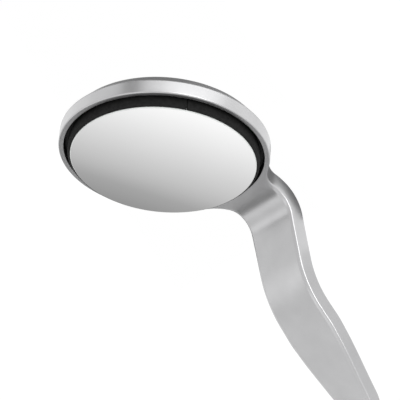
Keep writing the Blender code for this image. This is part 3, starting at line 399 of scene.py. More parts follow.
@dataclass(frozen=True)
class BoardFinish(Finish):
    """Solder mask over copper tracks: straight runs of track that show as a lighter green."""

    def colours(self, tree: Tree) -> bpy.types.NodeSocket:
        """Tracks from a brick pattern of long, narrow bricks."""
        place = add_node(tree, "TexCoord", {}).outputs["Object"]
        bricks = add_node(
            tree,
            "TexBrick",
            {
                "Scale": 1.0 / (self.mottle * MM),
                "Color1": linear(self.shade),
                "Color2": linear(self.shade),
                "Mortar": linear(self.colour),
                "Mortar Size": 0.06,
                "Brick Width": 1.6,
                "Row Height": 0.4,
            },
            {"Vector": place},
        )
        return bricks.outputs["Color"]


@dataclass(frozen=True)
class FlexFinish(Finish):
    """Amber film over parallel copper tracks."""

    def colours(self, tree: Tree) -> bpy.types.NodeSocket:
        """Bands across the film's width, one to each track."""
        place = add_node(tree, "TexCoord", {}).outputs["Object"]
        bands = {"bands_direction": "Y", "Scale": WAVE_SCALE / (self.mottle * MM), "Distortion": 0.0}
        wave = add_node(tree, "TexWave", bands, {"Vector": place})
        stops = [(0.45, self.shade), (0.55, self.colour)]
        ramp = add_node(tree, "ValToRGB", {"stops": stops}, {"Fac": wave.outputs["Fac"]})
        return ramp.outputs["Color"]


# Bead-blasted and clear-anodised aluminium: a soft grey metal sheen with a fine, even grain.
SATIN_ALUMINIUM = Finish(
    "bead-blasted aluminium", "satin_aluminium", "CBCBCC", "C5C5C6",
    roughness=0.30, spread=0.03, metallic=1.0, grain=0.14, bump=0.0016, mottle=3.0,
)
# The same metal turned on a lathe before it is anodised, for the handle's round pieces.
TURNED_ALUMINIUM = Finish(
    "satin-turned aluminium", "satin_aluminium", "CBCBCC", "C3C3C5",
    roughness=0.32, spread=0.03, metallic=1.0, grain=0.16, bump=0.0018, mottle=5.0,
)
# Rhodium coated on the front of polished glass: a clean, bright reflection with no second image.
MIRROR_COAT = Finish(
    "rhodium front-surface mirror", "mirror_glass", "F7F7F7", "F6F6F6",
    roughness=0.012, spread=0.004, metallic=1.0, grain=1.0, bump=0.0, mottle=6.0,
)
# The ground and polished rim of the same glass: a glossy grey-white line.
GLASS_EDGE = Finish(
    "ground glass edge", "mirror_glass", "E6E8E7", "DCDFDD",
    roughness=0.18, spread=0.05, metallic=0.0, grain=0.08, bump=0.001, mottle=1.5,
)
# Woven-backed tape with a napped face: deep black, no gloss, with a fine mottled nap.
BLACK_NAP = Finish(
    "black napped tape", "black_strip", "202020", "131313",
    roughness=0.85, spread=0.05, metallic=0.0, grain=0.22, bump=0.02, mottle=0.45,
    fixed=(("Specular IOR Level", 0.25),),
)
# Painted shade: the bore round the glass and the joint inside the back cover are coloured near-black, standing
# for the shade in the deep gap, so that the gap round the glass stays dark.
BORE_PAINTED_SHADE = Finish(
    "aluminium with painted bore shade", "satin_aluminium", "1A1A1B", "141415",
    roughness=0.6, spread=0.05, metallic=0.0, grain=0.1, bump=0.002, mottle=1.0,
)
# Stainless steel ground to size: fine lines round the piece.
GROUND_STEEL = TurnedMetal(
    "ground stainless steel", "steel", "B9BABC", "A9AAAC",
    roughness=0.26, spread=0.06, metallic=1.0, grain=0.12, bump=0.001, mottle=2.0,
)
# Sintered magnet plated in a barrel with nickel: warm grey, slightly uneven.
NICKEL_PLATE = Finish(
    "nickel-plated magnet", "magnet", "BDB7AC", "ADA79C",
    roughness=0.22, spread=0.05, metallic=1.0, grain=0.5, bump=0.001, mottle=2.0,
)
# Copper wire drawn, dipped in enamel and wound in rows.
COPPER_WIRE = WoundWire(
    "enamelled copper wire", "copper_wire", "C8703A", "A9541F",
    roughness=0.3, spread=0.05, metallic=1.0, grain=0.11, bump=0.02, mottle=1.0,
)
# Solder mask printed and cured over etched copper.
GREEN_BOARD = BoardFinish(
    "green solder mask", "circuit_board", "2C7A48", "12502B",
    roughness=0.35, spread=0.05, metallic=0.0, grain=0.3, bump=0.002, mottle=1.6,
)
# Filled epoxy moulded round the component: dull, even black.
BLACK_EPOXY = Finish(
    "moulded black epoxy", "black_epoxy", "26272A", "1D1E20",
    roughness=0.55, spread=0.06, metallic=0.0, grain=0.1, bump=0.004, mottle=1.0,
)
# Moulded silicone: soft, dry black with a faint bloom where it is handled.
BLACK_SILICONE = Finish(
    "black silicone rubber", "black_silicone", "2A2B2D", "1E1F20",
    roughness=0.52, spread=0.08, metallic=0.0, grain=0.12, bump=0.003, mottle=2.5,
)
# Adhesive film die-cut from a sheet: pale and slightly cloudy.
ADHESIVE_FILM = Finish(
    "double-sided adhesive film", "adhesive_film", "D2CFC2", "BDBAAC",
    roughness=0.5, spread=0.1, metallic=0.0, grain=0.3, bump=0.004, mottle=1.2,
)
# Polyimide film rolled over etched tracks: glossy amber.
POLYIMIDE = FlexFinish(
    "polyimide flexible circuit", "polyimide_film", "C07A28", "8A4A12",
    roughness=0.3, spread=0.05, metallic=0.0, grain=0.3, bump=0.001, mottle=0.35,
)
# Hard gold plated on turned brass: bright, with faint lathe lines.
GOLD_PLATE = TurnedMetal(
    "hard gold plate", "gold_plate", "E8C069", "D9AC50",
    roughness=0.2, spread=0.05, metallic=1.0, grain=0.15, bump=0.001, mottle=1.5,
)
# Nylon with glass fibre, moulded: the fibres leave a slightly rough skin.
BLACK_NYLON = Finish(
    "glass-filled black nylon", "black_nylon", "303133", "242527",
    roughness=0.48, spread=0.08, metallic=0.0, grain=0.2, bump=0.004, mottle=1.5,
)
# Acrylic rod with flame-polished ends: clear and smooth.
CLEAR_ACRYLIC = Finish(
    "clear acrylic", "clear_acrylic", "F4F8F8", "EDF3F3",
    roughness=0.08, spread=0.03, metallic=0.0, grain=0.2, bump=0.0005, mottle=2.0,
    fixed=(("Transmission Weight", 0.85), ("IOR", 1.49)),
)
# Pressed ceramic with a cast lens: matt white.
WHITE_DIODE = Finish(
    "white ceramic diode", "white_diode", "EFEDE0", "E2DFCD",
    roughness=0.4, spread=0.05, metallic=0.0, grain=0.1, bump=0.001, mottle=0.6,
)
# Heat-shrunk printed sleeve: glossy dark blue film.
CELL_SLEEVE = Finish(
    "heat-shrunk cell sleeve", "cell_jacket", "27406F", "1D3158",
    roughness=0.28, spread=0.06, metallic=0.0, grain=1.2, bump=0.002, mottle=6.0,
    fixed=(("Coat Weight", 0.4),),
)
# Cast opal acrylic lit from below: an even pale surface.
OPAL_TABLE = Finish(
    "opal light table", "", "5A5A5A", "585858",
    roughness=0.7, spread=0.05, metallic=0.0, grain=0.4, bump=0.0, mottle=300.0,
    fixed=(("Emission Color", linear("FFFFFF")), ("Emission Strength", 0.98), ("Specular IOR Level", 0.0)),
)


class Inner(Enum):
    """The CAD pieces that keep their shape, with their finish."""

    STEEL = (GROUND_STEEL, "spindle spindle_clip rotor_plate battery_cell")
    BEARING = (GROUND_STEEL, "bearing_outer_race bearing_inner_race bearing_balls")
    MAGNET = (NICKEL_PLATE, "ring_magnet")
    WIRE = (COPPER_WIRE, "coil_1 coil_2 coil_3 coil_4 coil_5 coil_6")
    BOARD = (GREEN_BOARD, "motor_board circuit_board")
    EPOXY = (BLACK_EPOXY, "hall_sensor motor_driver boost_inductor switch_body")
    SILICONE = (BLACK_SILICONE, "head_seal nose_seal button_seal")
    ADHESIVE = (ADHESIVE_FILM, "mirror_adhesive")
    FILM = (POLYIMIDE, "flex_cable")
    GOLD = (GOLD_PLATE, "socket_contact_1 socket_contact_2 battery_contact cap_contact")
    NYLON = (BLACK_NYLON, "plug_body socket_body chassis switch_plunger")
    DIODE = (WHITE_DIODE, "status_led")
    SLEEVE = (CELL_SLEEVE, "battery_jacket")


def dress_inner_pieces() -> None:
    """Gives every CAD piece that still shows its own finish."""
    for group in Inner:
        finish, names = group.value
        for name in names.split():
            node = frame["nodes"][name]
            node.data.materials.clear()
            node.data.materials.append(finish.material())
            LOG.info("%s: %s", name, finish.name)


# ---------------------------------------------------------------- pieces


@dataclass
class Piece:
    """A finished piece that takes the place of one CAD piece, on its way into the scene."""

    node: str
    body: str
    finish: Finish
    crease: float = 32.0

    def show(self, skin: Skin, place: Place, cutters: Iterable[bpy.types.Object] = ()) -> bpy.types.Object:
        """Makes the object from its skin, cuts it, shades it and ties it to the frame.

        Args:
            skin: the closed surface.
            place: the working frame that the skin is in.
            cutters: closed helpers that are taken out of it and then removed.
        Returns:
            The object.
        """
        name = f"{self.node}_fine"
        obj = bpy.data.objects.new(name, skin.mesh(name, place))
        bpy.context.scene.collection.objects.link(obj)
        for cutter in cutters:
            carve(obj, cutter)
        obj.data.materials.clear()
        obj.data.materials.append(self.finish.material())
        obj.data.shade_smooth()
        obj.data.set_sharp_from_angle(angle=np.radians(self.crease))
        steady = obj.modifiers.new("even_shading", "WEIGHTED_NORMAL")
        steady.keep_sharp = True
        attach(obj, self.body)
        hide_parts(self.node)
        LOG.info("%s: %d faces, %s", name, len(obj.data.polygons), self.finish.name)
        return obj


def face_middles(obj: bpy.types.Object, place: Place) -> Array:
    """The middle of each face of an object, in millimetres in this frame."""
    middle = np.zeros(len(obj.data.polygons) * 3)
    obj.data.polygons.foreach_get("center", middle)
    local = middle.reshape(-1, 3) / MM - place.origin
    return np.stack([local @ axis for axis in (place.x, place.y, place.z)], axis=1)


def dress_faces(obj: bpy.types.Object, finish: Finish, chosen: Array) -> None:
    """Gives the chosen faces of an object a second finish."""
    obj.data.materials.append(finish.material())
    obj.data.polygons.foreach_set("material_index", np.where(chosen, 1, 0).astype(np.int32))


def helper(skin: Skin, place: Place) -> bpy.types.Object:
    """A cutter, linked to the scene until it has been used."""
    obj = bpy.data.objects.new("cutter", skin.mesh("cutter", place))
    bpy.context.scene.collection.objects.link(obj)
    return obj


def carve(obj: bpy.types.Object, cutter: bpy.types.Object) -> None:
    """Takes a cutter out of an object for good, and removes the cutter."""
    modifier = obj.modifiers.new("carve", "BOOLEAN")
    modifier.operation = "DIFFERENCE"
    modifier.solver = "MANIFOLD"
    modifier.object = cutter
    graph = bpy.context.evaluated_depsgraph_get()
    mesh = bpy.data.meshes.new_from_object(obj.evaluated_get(graph))
    obj.modifiers.clear()
    obj.data = mesh
    bpy.data.objects.remove(cutter)


# ---------------------------------------------------------------- head


def with_distance(along: Array, section: Array) -> Array:
    """Sections (row, point, (across, depth)) with each row's distance along put in front."""
    return np.concatenate([np.broadcast_to(along[:, None, None], (*section.shape[:2], 1)), section], axis=2)


@dataclass
class NeckLine:
    """The centre line of the neck's front face, by distance from the middle of the glass.

    It runs flat from the head, turns up through a tight bend, rises, and sweeps back level with the handle.
    """

    straight: float = 13.65
    bend_radius: float = 3.25
    bend_turn: float = np.radians(71.6)
    rise: float = 5.4
    sweep_radius: float = 12.8
    tilt: float = np.radians(41.0)

    def place(self, along: Array) -> tuple[Array, Array, Array]:
        """Where the line is: arcs and straights added end to end.

        Args:
            along: distances from the middle of the glass.
        Returns:
            Distance out along the head's plane, height over it and heading, one of each per distance.
        """
        bend = np.clip((along - self.straight) / self.bend_radius, 0.0, self.bend_turn)
        left = along - self.straight - self.bend_radius * bend
        rise = np.clip(left, 0.0, self.rise)
        back = np.clip((left - rise) / self.sweep_radius, 0.0, self.bend_turn - self.tilt)
        heading = bend - back
        last = np.where(left > 0, left - rise - self.sweep_radius * back, 0.0)
        u = np.minimum(along, self.straight) + self.bend_radius * np.sin(bend) + rise * np.cos(bend)
        n = self.bend_radius * (1 - np.cos(bend)) + rise * np.sin(bend)
        u = u + self.sweep_radius * (np.sin(bend) - np.sin(heading)) * (back > 0) + last * np.cos(heading)
        n = n + self.sweep_radius * (np.cos(heading) - np.cos(bend)) * (back > 0) + last * np.sin(heading)
        return u, n, heading

    def put(self, flat: Array) -> Array:
        """Bends a flat drawing of (along, across, depth) on to the line, depth square to it and down."""
        u, n, heading = self.place(flat[..., 0])
        depth = flat[..., 2]
        return np.stack([u + depth * np.sin(heading), flat[..., 1], n - depth * np.cos(heading)], axis=-1)


@dataclass
class HeadFrame:
    """Rim, neck and plug stem in one piece: a flat outline with a shaped edge, bent along the neck's line."""

    line: NeckLine = field(default_factory=NeckLine)
    radius: float = 12.5
    bore: float = 11.85
    wall: float = 1.67
    thickness: float = 1.95
    root: float = 15.0
    root_half: float = 3.76
    fillet_angle: float = np.radians(31.0)
    cover_radius: float = 12.53
    rim_round: float = 0.16
    bevel_reach: float = 0.42
    bevel_slope: float = np.radians(24.9)
    edge_round: float = 0.26
    rear_edge: float = 0.03
    across: int = 24
    widths: tuple[Pair, ...] = (
        (15.0, 3.76), (18.0, 3.68), (23.0, 3.63), (27.0, 3.61), (30.3, 3.66), (32.4, 3.70), (34.0, 3.57),
        (42.2, 2.40), (46.0, 1.95),
    )
    stem_start: float = 45.3
    shoulder_start: float = 42.2
    stem: float = 1.95
    stem_end: float = 58.0
    collar: float = 2.9
    collar_span: Pair = (42.0, 43.2)
    stem_rings: Pair = (47.0, 53.0)
    ring_depth: float = 0.42
    ring_half: float = 0.4
    mouth: float = 1.3
    mouth_floor: float = 49.0
    recess_span: Pair = (12.9, 41.0)
    recess_half: float = 2.0
    recess_depths: Pair = (1.45, 3.0)
    fillet_leave: float = 2.6
    fillet_arrive: float = 1.5

    def half_width(self, along: Array) -> Array:
        """Half the neck's width: a smooth curve through the widths."""
        places, halves = np.array(self.widths).T
        slopes = np.gradient(halves, places)
        k = np.clip(np.searchsorted(places, along) - 1, 0, len(places) - 2)
        span = places[k + 1] - places[k]
        t = np.clip((along - places[k]) / span, 0.0, 1.0)
        rise = halves[k + 1] - halves[k]
        curl = t * (1 - t) * ((1 - t) * (slopes[k] * span - rise) - t * (slopes[k + 1] * span - rise))
        return halves[k] + t * rise + curl

    def outline(self) -> tuple[Array, Array]:
        """The head's flat outline from the neck's left side round to its right side.

        Formula: a circle about the glass, joined to the neck's side by a cubic curve that leaves the circle
        along its tangent and meets the neck along its side.

        Returns:
            The points (along, across), and how far each has changed from rim to neck, 0 to 1.
        """
        far = np.array([self.root, self.root_half])
        near = self.radius * np.array([np.cos(self.fillet_angle), np.sin(self.fillet_angle)])
        leave = self.fillet_leave * np.array([np.sin(self.fillet_angle), -np.cos(self.fillet_angle)])
        arrive = self.fillet_arrive * np.array([1.0, -0.03])
        t = np.linspace(1.0, 0.0, 33)[:, None]
        ends = near * (1 - t) ** 3 + far * t**3
        hook = ends + 3 * (near + leave) * t * (1 - t) ** 2 + 3 * (far - arrive) * t**2 * (1 - t)
        angle = np.linspace(self.fillet_angle, np.pi, 150)[1:, None]
        half = np.concatenate([hook, self.radius * np.concatenate([np.cos(angle), np.sin(angle)], axis=1)])
        change = np.concatenate([smooth_step(1.25 * t[:, 0]), np.zeros(len(angle))])
        mirrored = half[-2::-1] * [1.0, -1.0]
        return np.concatenate([half, mirrored]), np.concatenate([change, change[-2::-1]])

    def edge(self, change: Array) -> Array:
        """The front edge's shape, (inset, depth) rows, for each share of change from rim to neck.

        The rim has a plain round. The neck has a shallow bevel and then a tighter round into its side.
        """
        rim = rounded([(1.0, 0.0, 0), (0.0, 0.0, self.rim_round), (0.0, 1.0, 0)], 9)[1:-1]
        low = (0.0, self.bevel_reach * np.tan(self.bevel_slope), self.edge_round)
        neck = rounded([(1.0, 0.0, 0), (self.bevel_reach, 0.0, 0.3), low, (0.0, 1.0, 0)], 4)[1:-1]
        return rim[None] + (neck - rim)[None] * change[:, None, None]

    def rows(self, change: Array) -> Array:
        """The whole side of a section, (inset, depth) rows from the front face's edge to the rear face."""
        edge = self.edge(change)
        depth = self.wall + (self.thickness - self.wall) * smooth_step(4 * change)
        side = np.linspace(0.0, 1.0, 5)[1:-1]
        start = edge[:, -1, 1][:, None]
        side = start + (depth[:, None] - self.rear_edge - start) * side[None]
        side = np.stack([np.zeros_like(side), side], axis=-1)
        above = np.stack([np.zeros_like(depth), depth - self.rear_edge], axis=-1)
        below = np.stack([np.full_like(depth, self.rear_edge), depth], axis=-1)
        return np.concatenate([edge, side, above[:, None], below[:, None]], axis=1)

    def head_grids(self) -> tuple[Array, Array]:
        """The rim with the neck's root: a grid round the outline, and one across the cut to the neck.

        Each column starts on the front face's inner edge, crosses the face, follows the side down, and comes
        back under the rim to the bore. At the cut, columns cross the face only, and come back from the neck's
        rear face.

        Returns:
            Both grids as flat drawings (along, across, depth).
        """
        points, change = self.outline()
        heading = np.gradient(points, axis=0)
        heading[0], heading[-1] = [-1.0, 0.0], [1.0, 0.0]
        heading /= np.linalg.norm(heading, axis=1)[:, None]
        normal = np.stack([heading[:, 1], -heading[:, 0]], axis=1)
        rows = self.rows(change)
        side = np.concatenate([points[:, None] - rows[..., :1] * normal[:, None], rows[..., 1:]], axis=2)
        face_end, rear_end = side[:, 0], side[:, -1]
        face = self.face_rows(face_end)
        under = self.under_rows(rear_end)
        ring = np.concatenate([face, side, under], axis=1)
        t = np.linspace(0.0, 1.0, self.across + 1)[:, None]
        cut_front = face_end[0] * (1 - t) + face_end[-1] * t
        cut_rear = rear_end[0] * (1 - t) + rear_end[-1] * t
        front = np.concatenate([self.face_rows(cut_front), cut_front[:, None]], axis=1)[:, ::-1]
        back = np.concatenate([cut_rear[:, None], self.under_rows(cut_rear)], axis=1)[:, ::-1]
        return ring, np.concatenate([front, back], axis=1)

    def face_rows(self, ends: Array) -> Array:
        """Rows from the bore's front edge out to these points of the front face, not counting the last."""
        angle = np.arctan2(ends[:, 1], ends[:, 0])
        ray = np.stack([np.cos(angle), np.sin(angle), 0 * angle], axis=1)
        lip, chamfer = self.bore * ray, 0.05
        low = lip + [0.0, 0.0, chamfer]
        start = (self.bore + chamfer) * ray
        share = np.array([0.0, 0.2, 0.5, 0.8])[None, :, None]
        flat = start[:, None] * (1 - share) + ends[:, None] * share
        flat[..., 2] = 0.0
        return np.concatenate([low[:, None], flat], axis=1)

    def under_rows(self, ends: Array) -> Array:
        """Rows from these points of the rear face in to the cover's joint, up, and in to the bore."""
        angle = np.arctan2(ends[:, 1], ends[:, 0])
        reach = np.hypot(ends[:, 0], ends[:, 1])
        ray = np.stack([np.cos(angle), np.sin(angle), 0 * angle], axis=1)
        arc = soft_minimum(reach - 0.05, np.full_like(reach, self.cover_radius), 0.05)[:, None] * ray
        down = np.array([0.0, 0.0, 1.0])
        low = arc + ends[:, 2:] * down
        high = arc - 0.01 * ray + (self.wall - 0.005) * down
        inner = (self.bore + 0.02) * ray + (self.wall - 0.05) * down
        last = self.bore * ray + (self.wall - 0.08) * down
        return np.stack([low, high, inner, last], axis=1)

    def neck_grid(self) -> Array:
        """Sections of the neck from the root to the plug stem's open end, as flat drawings.

        Formula: each section is the flat bar's outline, pulled along its own rays towards a circle about its
        middle by a share that grows from 0 at the shoulder to 1 at the stem.
        """
        start = self.line_of_stem(0.0)
        bar = np.concatenate([np.linspace(self.root, 41.4, 125), np.linspace(41.4, self.stem_start, 40)[1:]])
        plain = self.stem_profile() - [start, 0.0]
        along = np.concatenate([bar, plain[:, 0]])
        radius = np.concatenate([np.full(len(bar), self.stem), plain[:, 1]])
        share = smooth_step((along - self.shoulder_start) / (self.stem_start - self.shoulder_start))
        share[len(bar) :] = 1.0
        half = self.half_width(np.minimum(along, self.stem_start))
        rows = self.rows(np.ones(1))[0]
        inset, depth = rows[:, 0], rows[:, 1]
        t = np.linspace(-1.0, 1.0, self.across + 1)
        right = np.stack([half[:, None] - inset, np.broadcast_to(depth, (len(half), len(depth)))], axis=-1)
        level = np.ones((len(half), len(t) - 2))
        front = np.stack([right[:, :1, 0] * t[1:-1], 0.0 * level], axis=-1)
        rear = np.stack([-right[:, -1:, 0] * t[1:-1], self.thickness * level], axis=-1)
        left = right[:, ::-1] * [-1.0, 1.0]
        section = np.concatenate([front, right, rear, left], axis=1)
        middle = np.array([0.0, self.thickness / 2])
        spoke = section - middle
        reach = np.linalg.norm(spoke, axis=2, keepdims=True)
        wanted = reach * (1 - share)[:, None, None] + radius[:, None, None] * share[:, None, None]
        section = middle + spoke / reach * wanted
        return with_distance(along, section)

    def line_of_stem(self, handle: float) -> float:
        """What to take from a place on the handle to have the distance along the neck's line."""
        u, n, _ = self.line.place(np.array([self.stem_start]))
        place = u * np.cos(self.line.tilt) + n * np.sin(self.line.tilt)
        return float(place[0] - self.stem_start) + handle

    def stem_profile(self) -> Array:
        """(place on the handle, radius) of the collar, the ring grooves, the mouth and the bore behind it."""
        groove, half = self.stem - self.ring_depth, self.ring_half
        low, high = self.collar_span
        corners = [(41.6, self.stem, 0), (low, self.stem, 0.05), (low, self.collar, 0.12)]
        corners += [(high, self.collar, 0.12), (high, self.stem, 0.05)]
        for middle in self.stem_rings:
            corners += [(middle - half, self.stem, 0.04), (middle - half, groove, 0.08)]
            corners += [(middle + half, groove, 0.08), (middle + half, self.stem, 0.04)]
        corners += [(self.stem_end, self.stem, 0.2), (self.stem_end, self.mouth, 0.1)]
        corners += [(self.mouth_floor, self.mouth, 0.1), (self.mouth_floor, 0.0, 0)]
        return rounded(corners, 4)

    def build(self, place: Place) -> bpy.types.Object:
        """Makes the head frame and cuts the rear recess for the cable cover.

        Args:
            place: the head's frame.
        Returns:
            The object.
        """
        ring, cut = self.head_grids()
        skin = Skin().add(self.line.put(ring), wrap_columns=True).add(self.line.put(cut))
        skin.add(self.line.put(self.neck_grid()), wrap_columns=True)
        recess = strip_skin(self.line, self.recess_span, self.recess_half, self.recess_depths, 0.0)
        obj = Piece("head_frame", "head_unit", SATIN_ALUMINIUM, 38.0).show(skin, place, [helper(recess, place)])
        middle = face_middles(obj, place)
        # Painted shade: the bore's faces are coloured near-black so that the gap round the glass stays dark.
        inside = np.hypot(middle[:, 0], middle[:, 1]) < self.bore + 0.01
        dress_faces(obj, BORE_PAINTED_SHADE, inside)
        return obj


def strip_skin(line: NeckLine, span: Pair, half: float, depths: Pair, bevel: float) -> Skin:
    """A flat bar with rounded plan corners along the neck's line.

    Formula: at each distance the half width is full less corner - sqrt(corner^2 - x^2) within one corner
    radius of either end.

    Args:
        line: the neck's line.
        span: where the bar starts and ends.
        half: half its width.
        depths: depth of its front and of its rear.
        bevel: how far the rear edges are cut back.
    Returns:
        The closed bar.
    """
    corner = 0.8
    ends = corner * (1 - np.cos(np.linspace(0.02, np.pi / 2, 9)))
    between = np.linspace(span[0] + corner, span[1] - corner, 80)[1:-1]
    along = np.concatenate([span[0] + ends, between, (span[1] - ends)[::-1]])
    near = np.minimum(along - span[0], span[1] - along)
    width = half - corner + np.sqrt(np.maximum(corner**2 - np.maximum(corner - near, 0.0) ** 2, 0.0))
    across = np.linspace(-1.0, 1.0, 9)
    top, bottom = depths
    level = np.ones((len(along), len(across)))
    front = np.stack([width[:, None] * across, top * level], axis=-1)
    if bevel:
        sides = [(0.0, bottom - bevel), (bevel, bottom)]
        right = [np.stack([width - inset, np.full(len(width), depth)], axis=-1) for inset, depth in sides]
        right = np.stack(right, axis=1)
        rear = np.stack([-(width[:, None] - bevel) * across[1:-1], bottom * level[:, 1:-1]], axis=-1)
        section = np.concatenate([front, right, rear, right[:, ::-1] * [-1.0, 1.0]], axis=1)
    else:
        section = np.concatenate([front, np.stack([-width[:, None] * across, bottom * level], axis=-1)], axis=1)
    first, last = section[:1].mean(axis=1, keepdims=True), section[-1:].mean(axis=1, keepdims=True)
    section = np.concatenate([first + 0 * section[:1], section, last + 0 * section[-1:]])
    along = np.concatenate([along[:1], along, along[-1:]])
    return Skin().add(line.put(with_distance(along, section)), wrap_columns=True)


@dataclass
class Head:
    """The head's other outer pieces: coned back, cable cover, glass and edge band."""

    rim: float = 12.5
    joint: float = 1.68
    back_radius: float = 11.2
    shell: float = 11.2
    shell_floor: float = -2.7
    spigot: float = 11.81
    spigot_top: float = -0.9
    cover_span: Pair = (12.93, 40.97)
    cover_half: float = 1.97
    cover_depths: Pair = (1.48, 1.95)
    cover_bevel: float = 0.05
    back: float = 3.14
    glass: float = 11.0
    glass_face: float = 1.13
    glass_back: float = 0.23
    band: tuple[float, float] = (11.04, 11.35)
    band_heights: tuple[float, float] = (-0.58, 1.0)
    band_joint: float = np.radians(115.0)
    slit: float = 0.07

    def back_profile(self) -> Array:
        """The coned back with softened corners, and a plain shell with a spigot inside it."""
        floor, top = self.shell_floor, self.spigot_top
        inside = [(0.0, floor, 0), (self.shell, floor, 0.15), (self.shell, top, 0.08)]
        spigot = [*inside, (self.spigot, top, 0.08), (self.spigot, -self.joint, 0.05)]
        wall = [(self.rim - 0.02, -self.joint, 0), (self.rim, -self.joint - 0.02, 0)]
        cone = [(self.back_radius, -self.back, 0.5), (0.0, -self.back, 0)]
        return rounded([*spigot, *wall, *cone], 8)

    def build(self, place: Place, line: NeckLine) -> None:
        """Makes the pieces.

        Args:
            place: the head's frame.
            line: the neck's line, for the cable cover.
        """
        back = turned(self.back_profile(), 240)
        obj = Piece("head_back_cover", "head_unit", SATIN_ALUMINIUM).show(back, place)
        # Painted shade: the faces inside the joint, seen through the gap round the glass, are coloured
        # near-black.
        dress_faces(obj, BORE_PAINTED_SHADE, face_middles(obj, place)[:, 2] > -self.joint + 0.001)
        cover = strip_skin(line, self.cover_span, self.cover_half, self.cover_depths, self.cover_bevel)
        Piece("neck_rear_cover", "head_unit", SATIN_ALUMINIUM).show(cover, place)
        self.build_glass(place)
        self.build_band(place)

    def build_glass(self, place: Place) -> None:
        """The glass: a disc with a polished bevel, coated on its front face."""
        edge = 0.09
        profile = rounded(
            [
                (0.0, self.glass_face, 0),
                (self.glass - edge, self.glass_face, 0),
                (self.glass, self.glass_face - edge, 0.02),
                (self.glass, self.glass_back, 0.05),
                (0.0, self.glass_back, 0),
            ],
            4,
        )
        obj = Piece("mirror_glass", "rotor", MIRROR_COAT, 12.0).show(turned(profile, 256), place)
        dress_faces(obj, GLASS_EDGE, face_middles(obj, place)[:, 2] < self.glass_face - 1e-4)

    def build_band(self, place: Place) -> None:
        """The tape round the rotor's edge: a strip with soft corners whose two ends meet at a slit."""
        inner, outer = self.band
        low, high = self.band_heights
        back = [(inner, 0.2, 0), (inner, low, 0.03), (outer, low, 0.06)]
        top = [(outer, high - 0.25, 0.04), (inner + 0.06, high, 0.02), (inner, high, 0.02), (inner, 0.3, 0)]
        loop = rounded([*back, *top], 4)
        gap = self.slit / outer
        grid = turned_grid(loop, 400, self.band_joint + gap / 2, 2 * np.pi - gap)
        nap = 0.012 * np.sin(7 * np.linspace(0, 2 * np.pi, 400)) * (loop[:, :1] > outer - 0.05)
        grid[..., :2] *= (1 - np.abs(nap) / outer)[..., None]
        ends = [np.broadcast_to(grid[:, [k]].mean(axis=0, keepdims=True), (len(loop), 1, 3)) for k in (0, -1)]
        skin = Skin().add(np.concatenate([ends[0], grid, ends[1]], axis=1), wrap_rows=True)
        Piece("rotor_band", "rotor", BLACK_NAP).show(skin, place)


# ---------------------------------------------------------------- handle


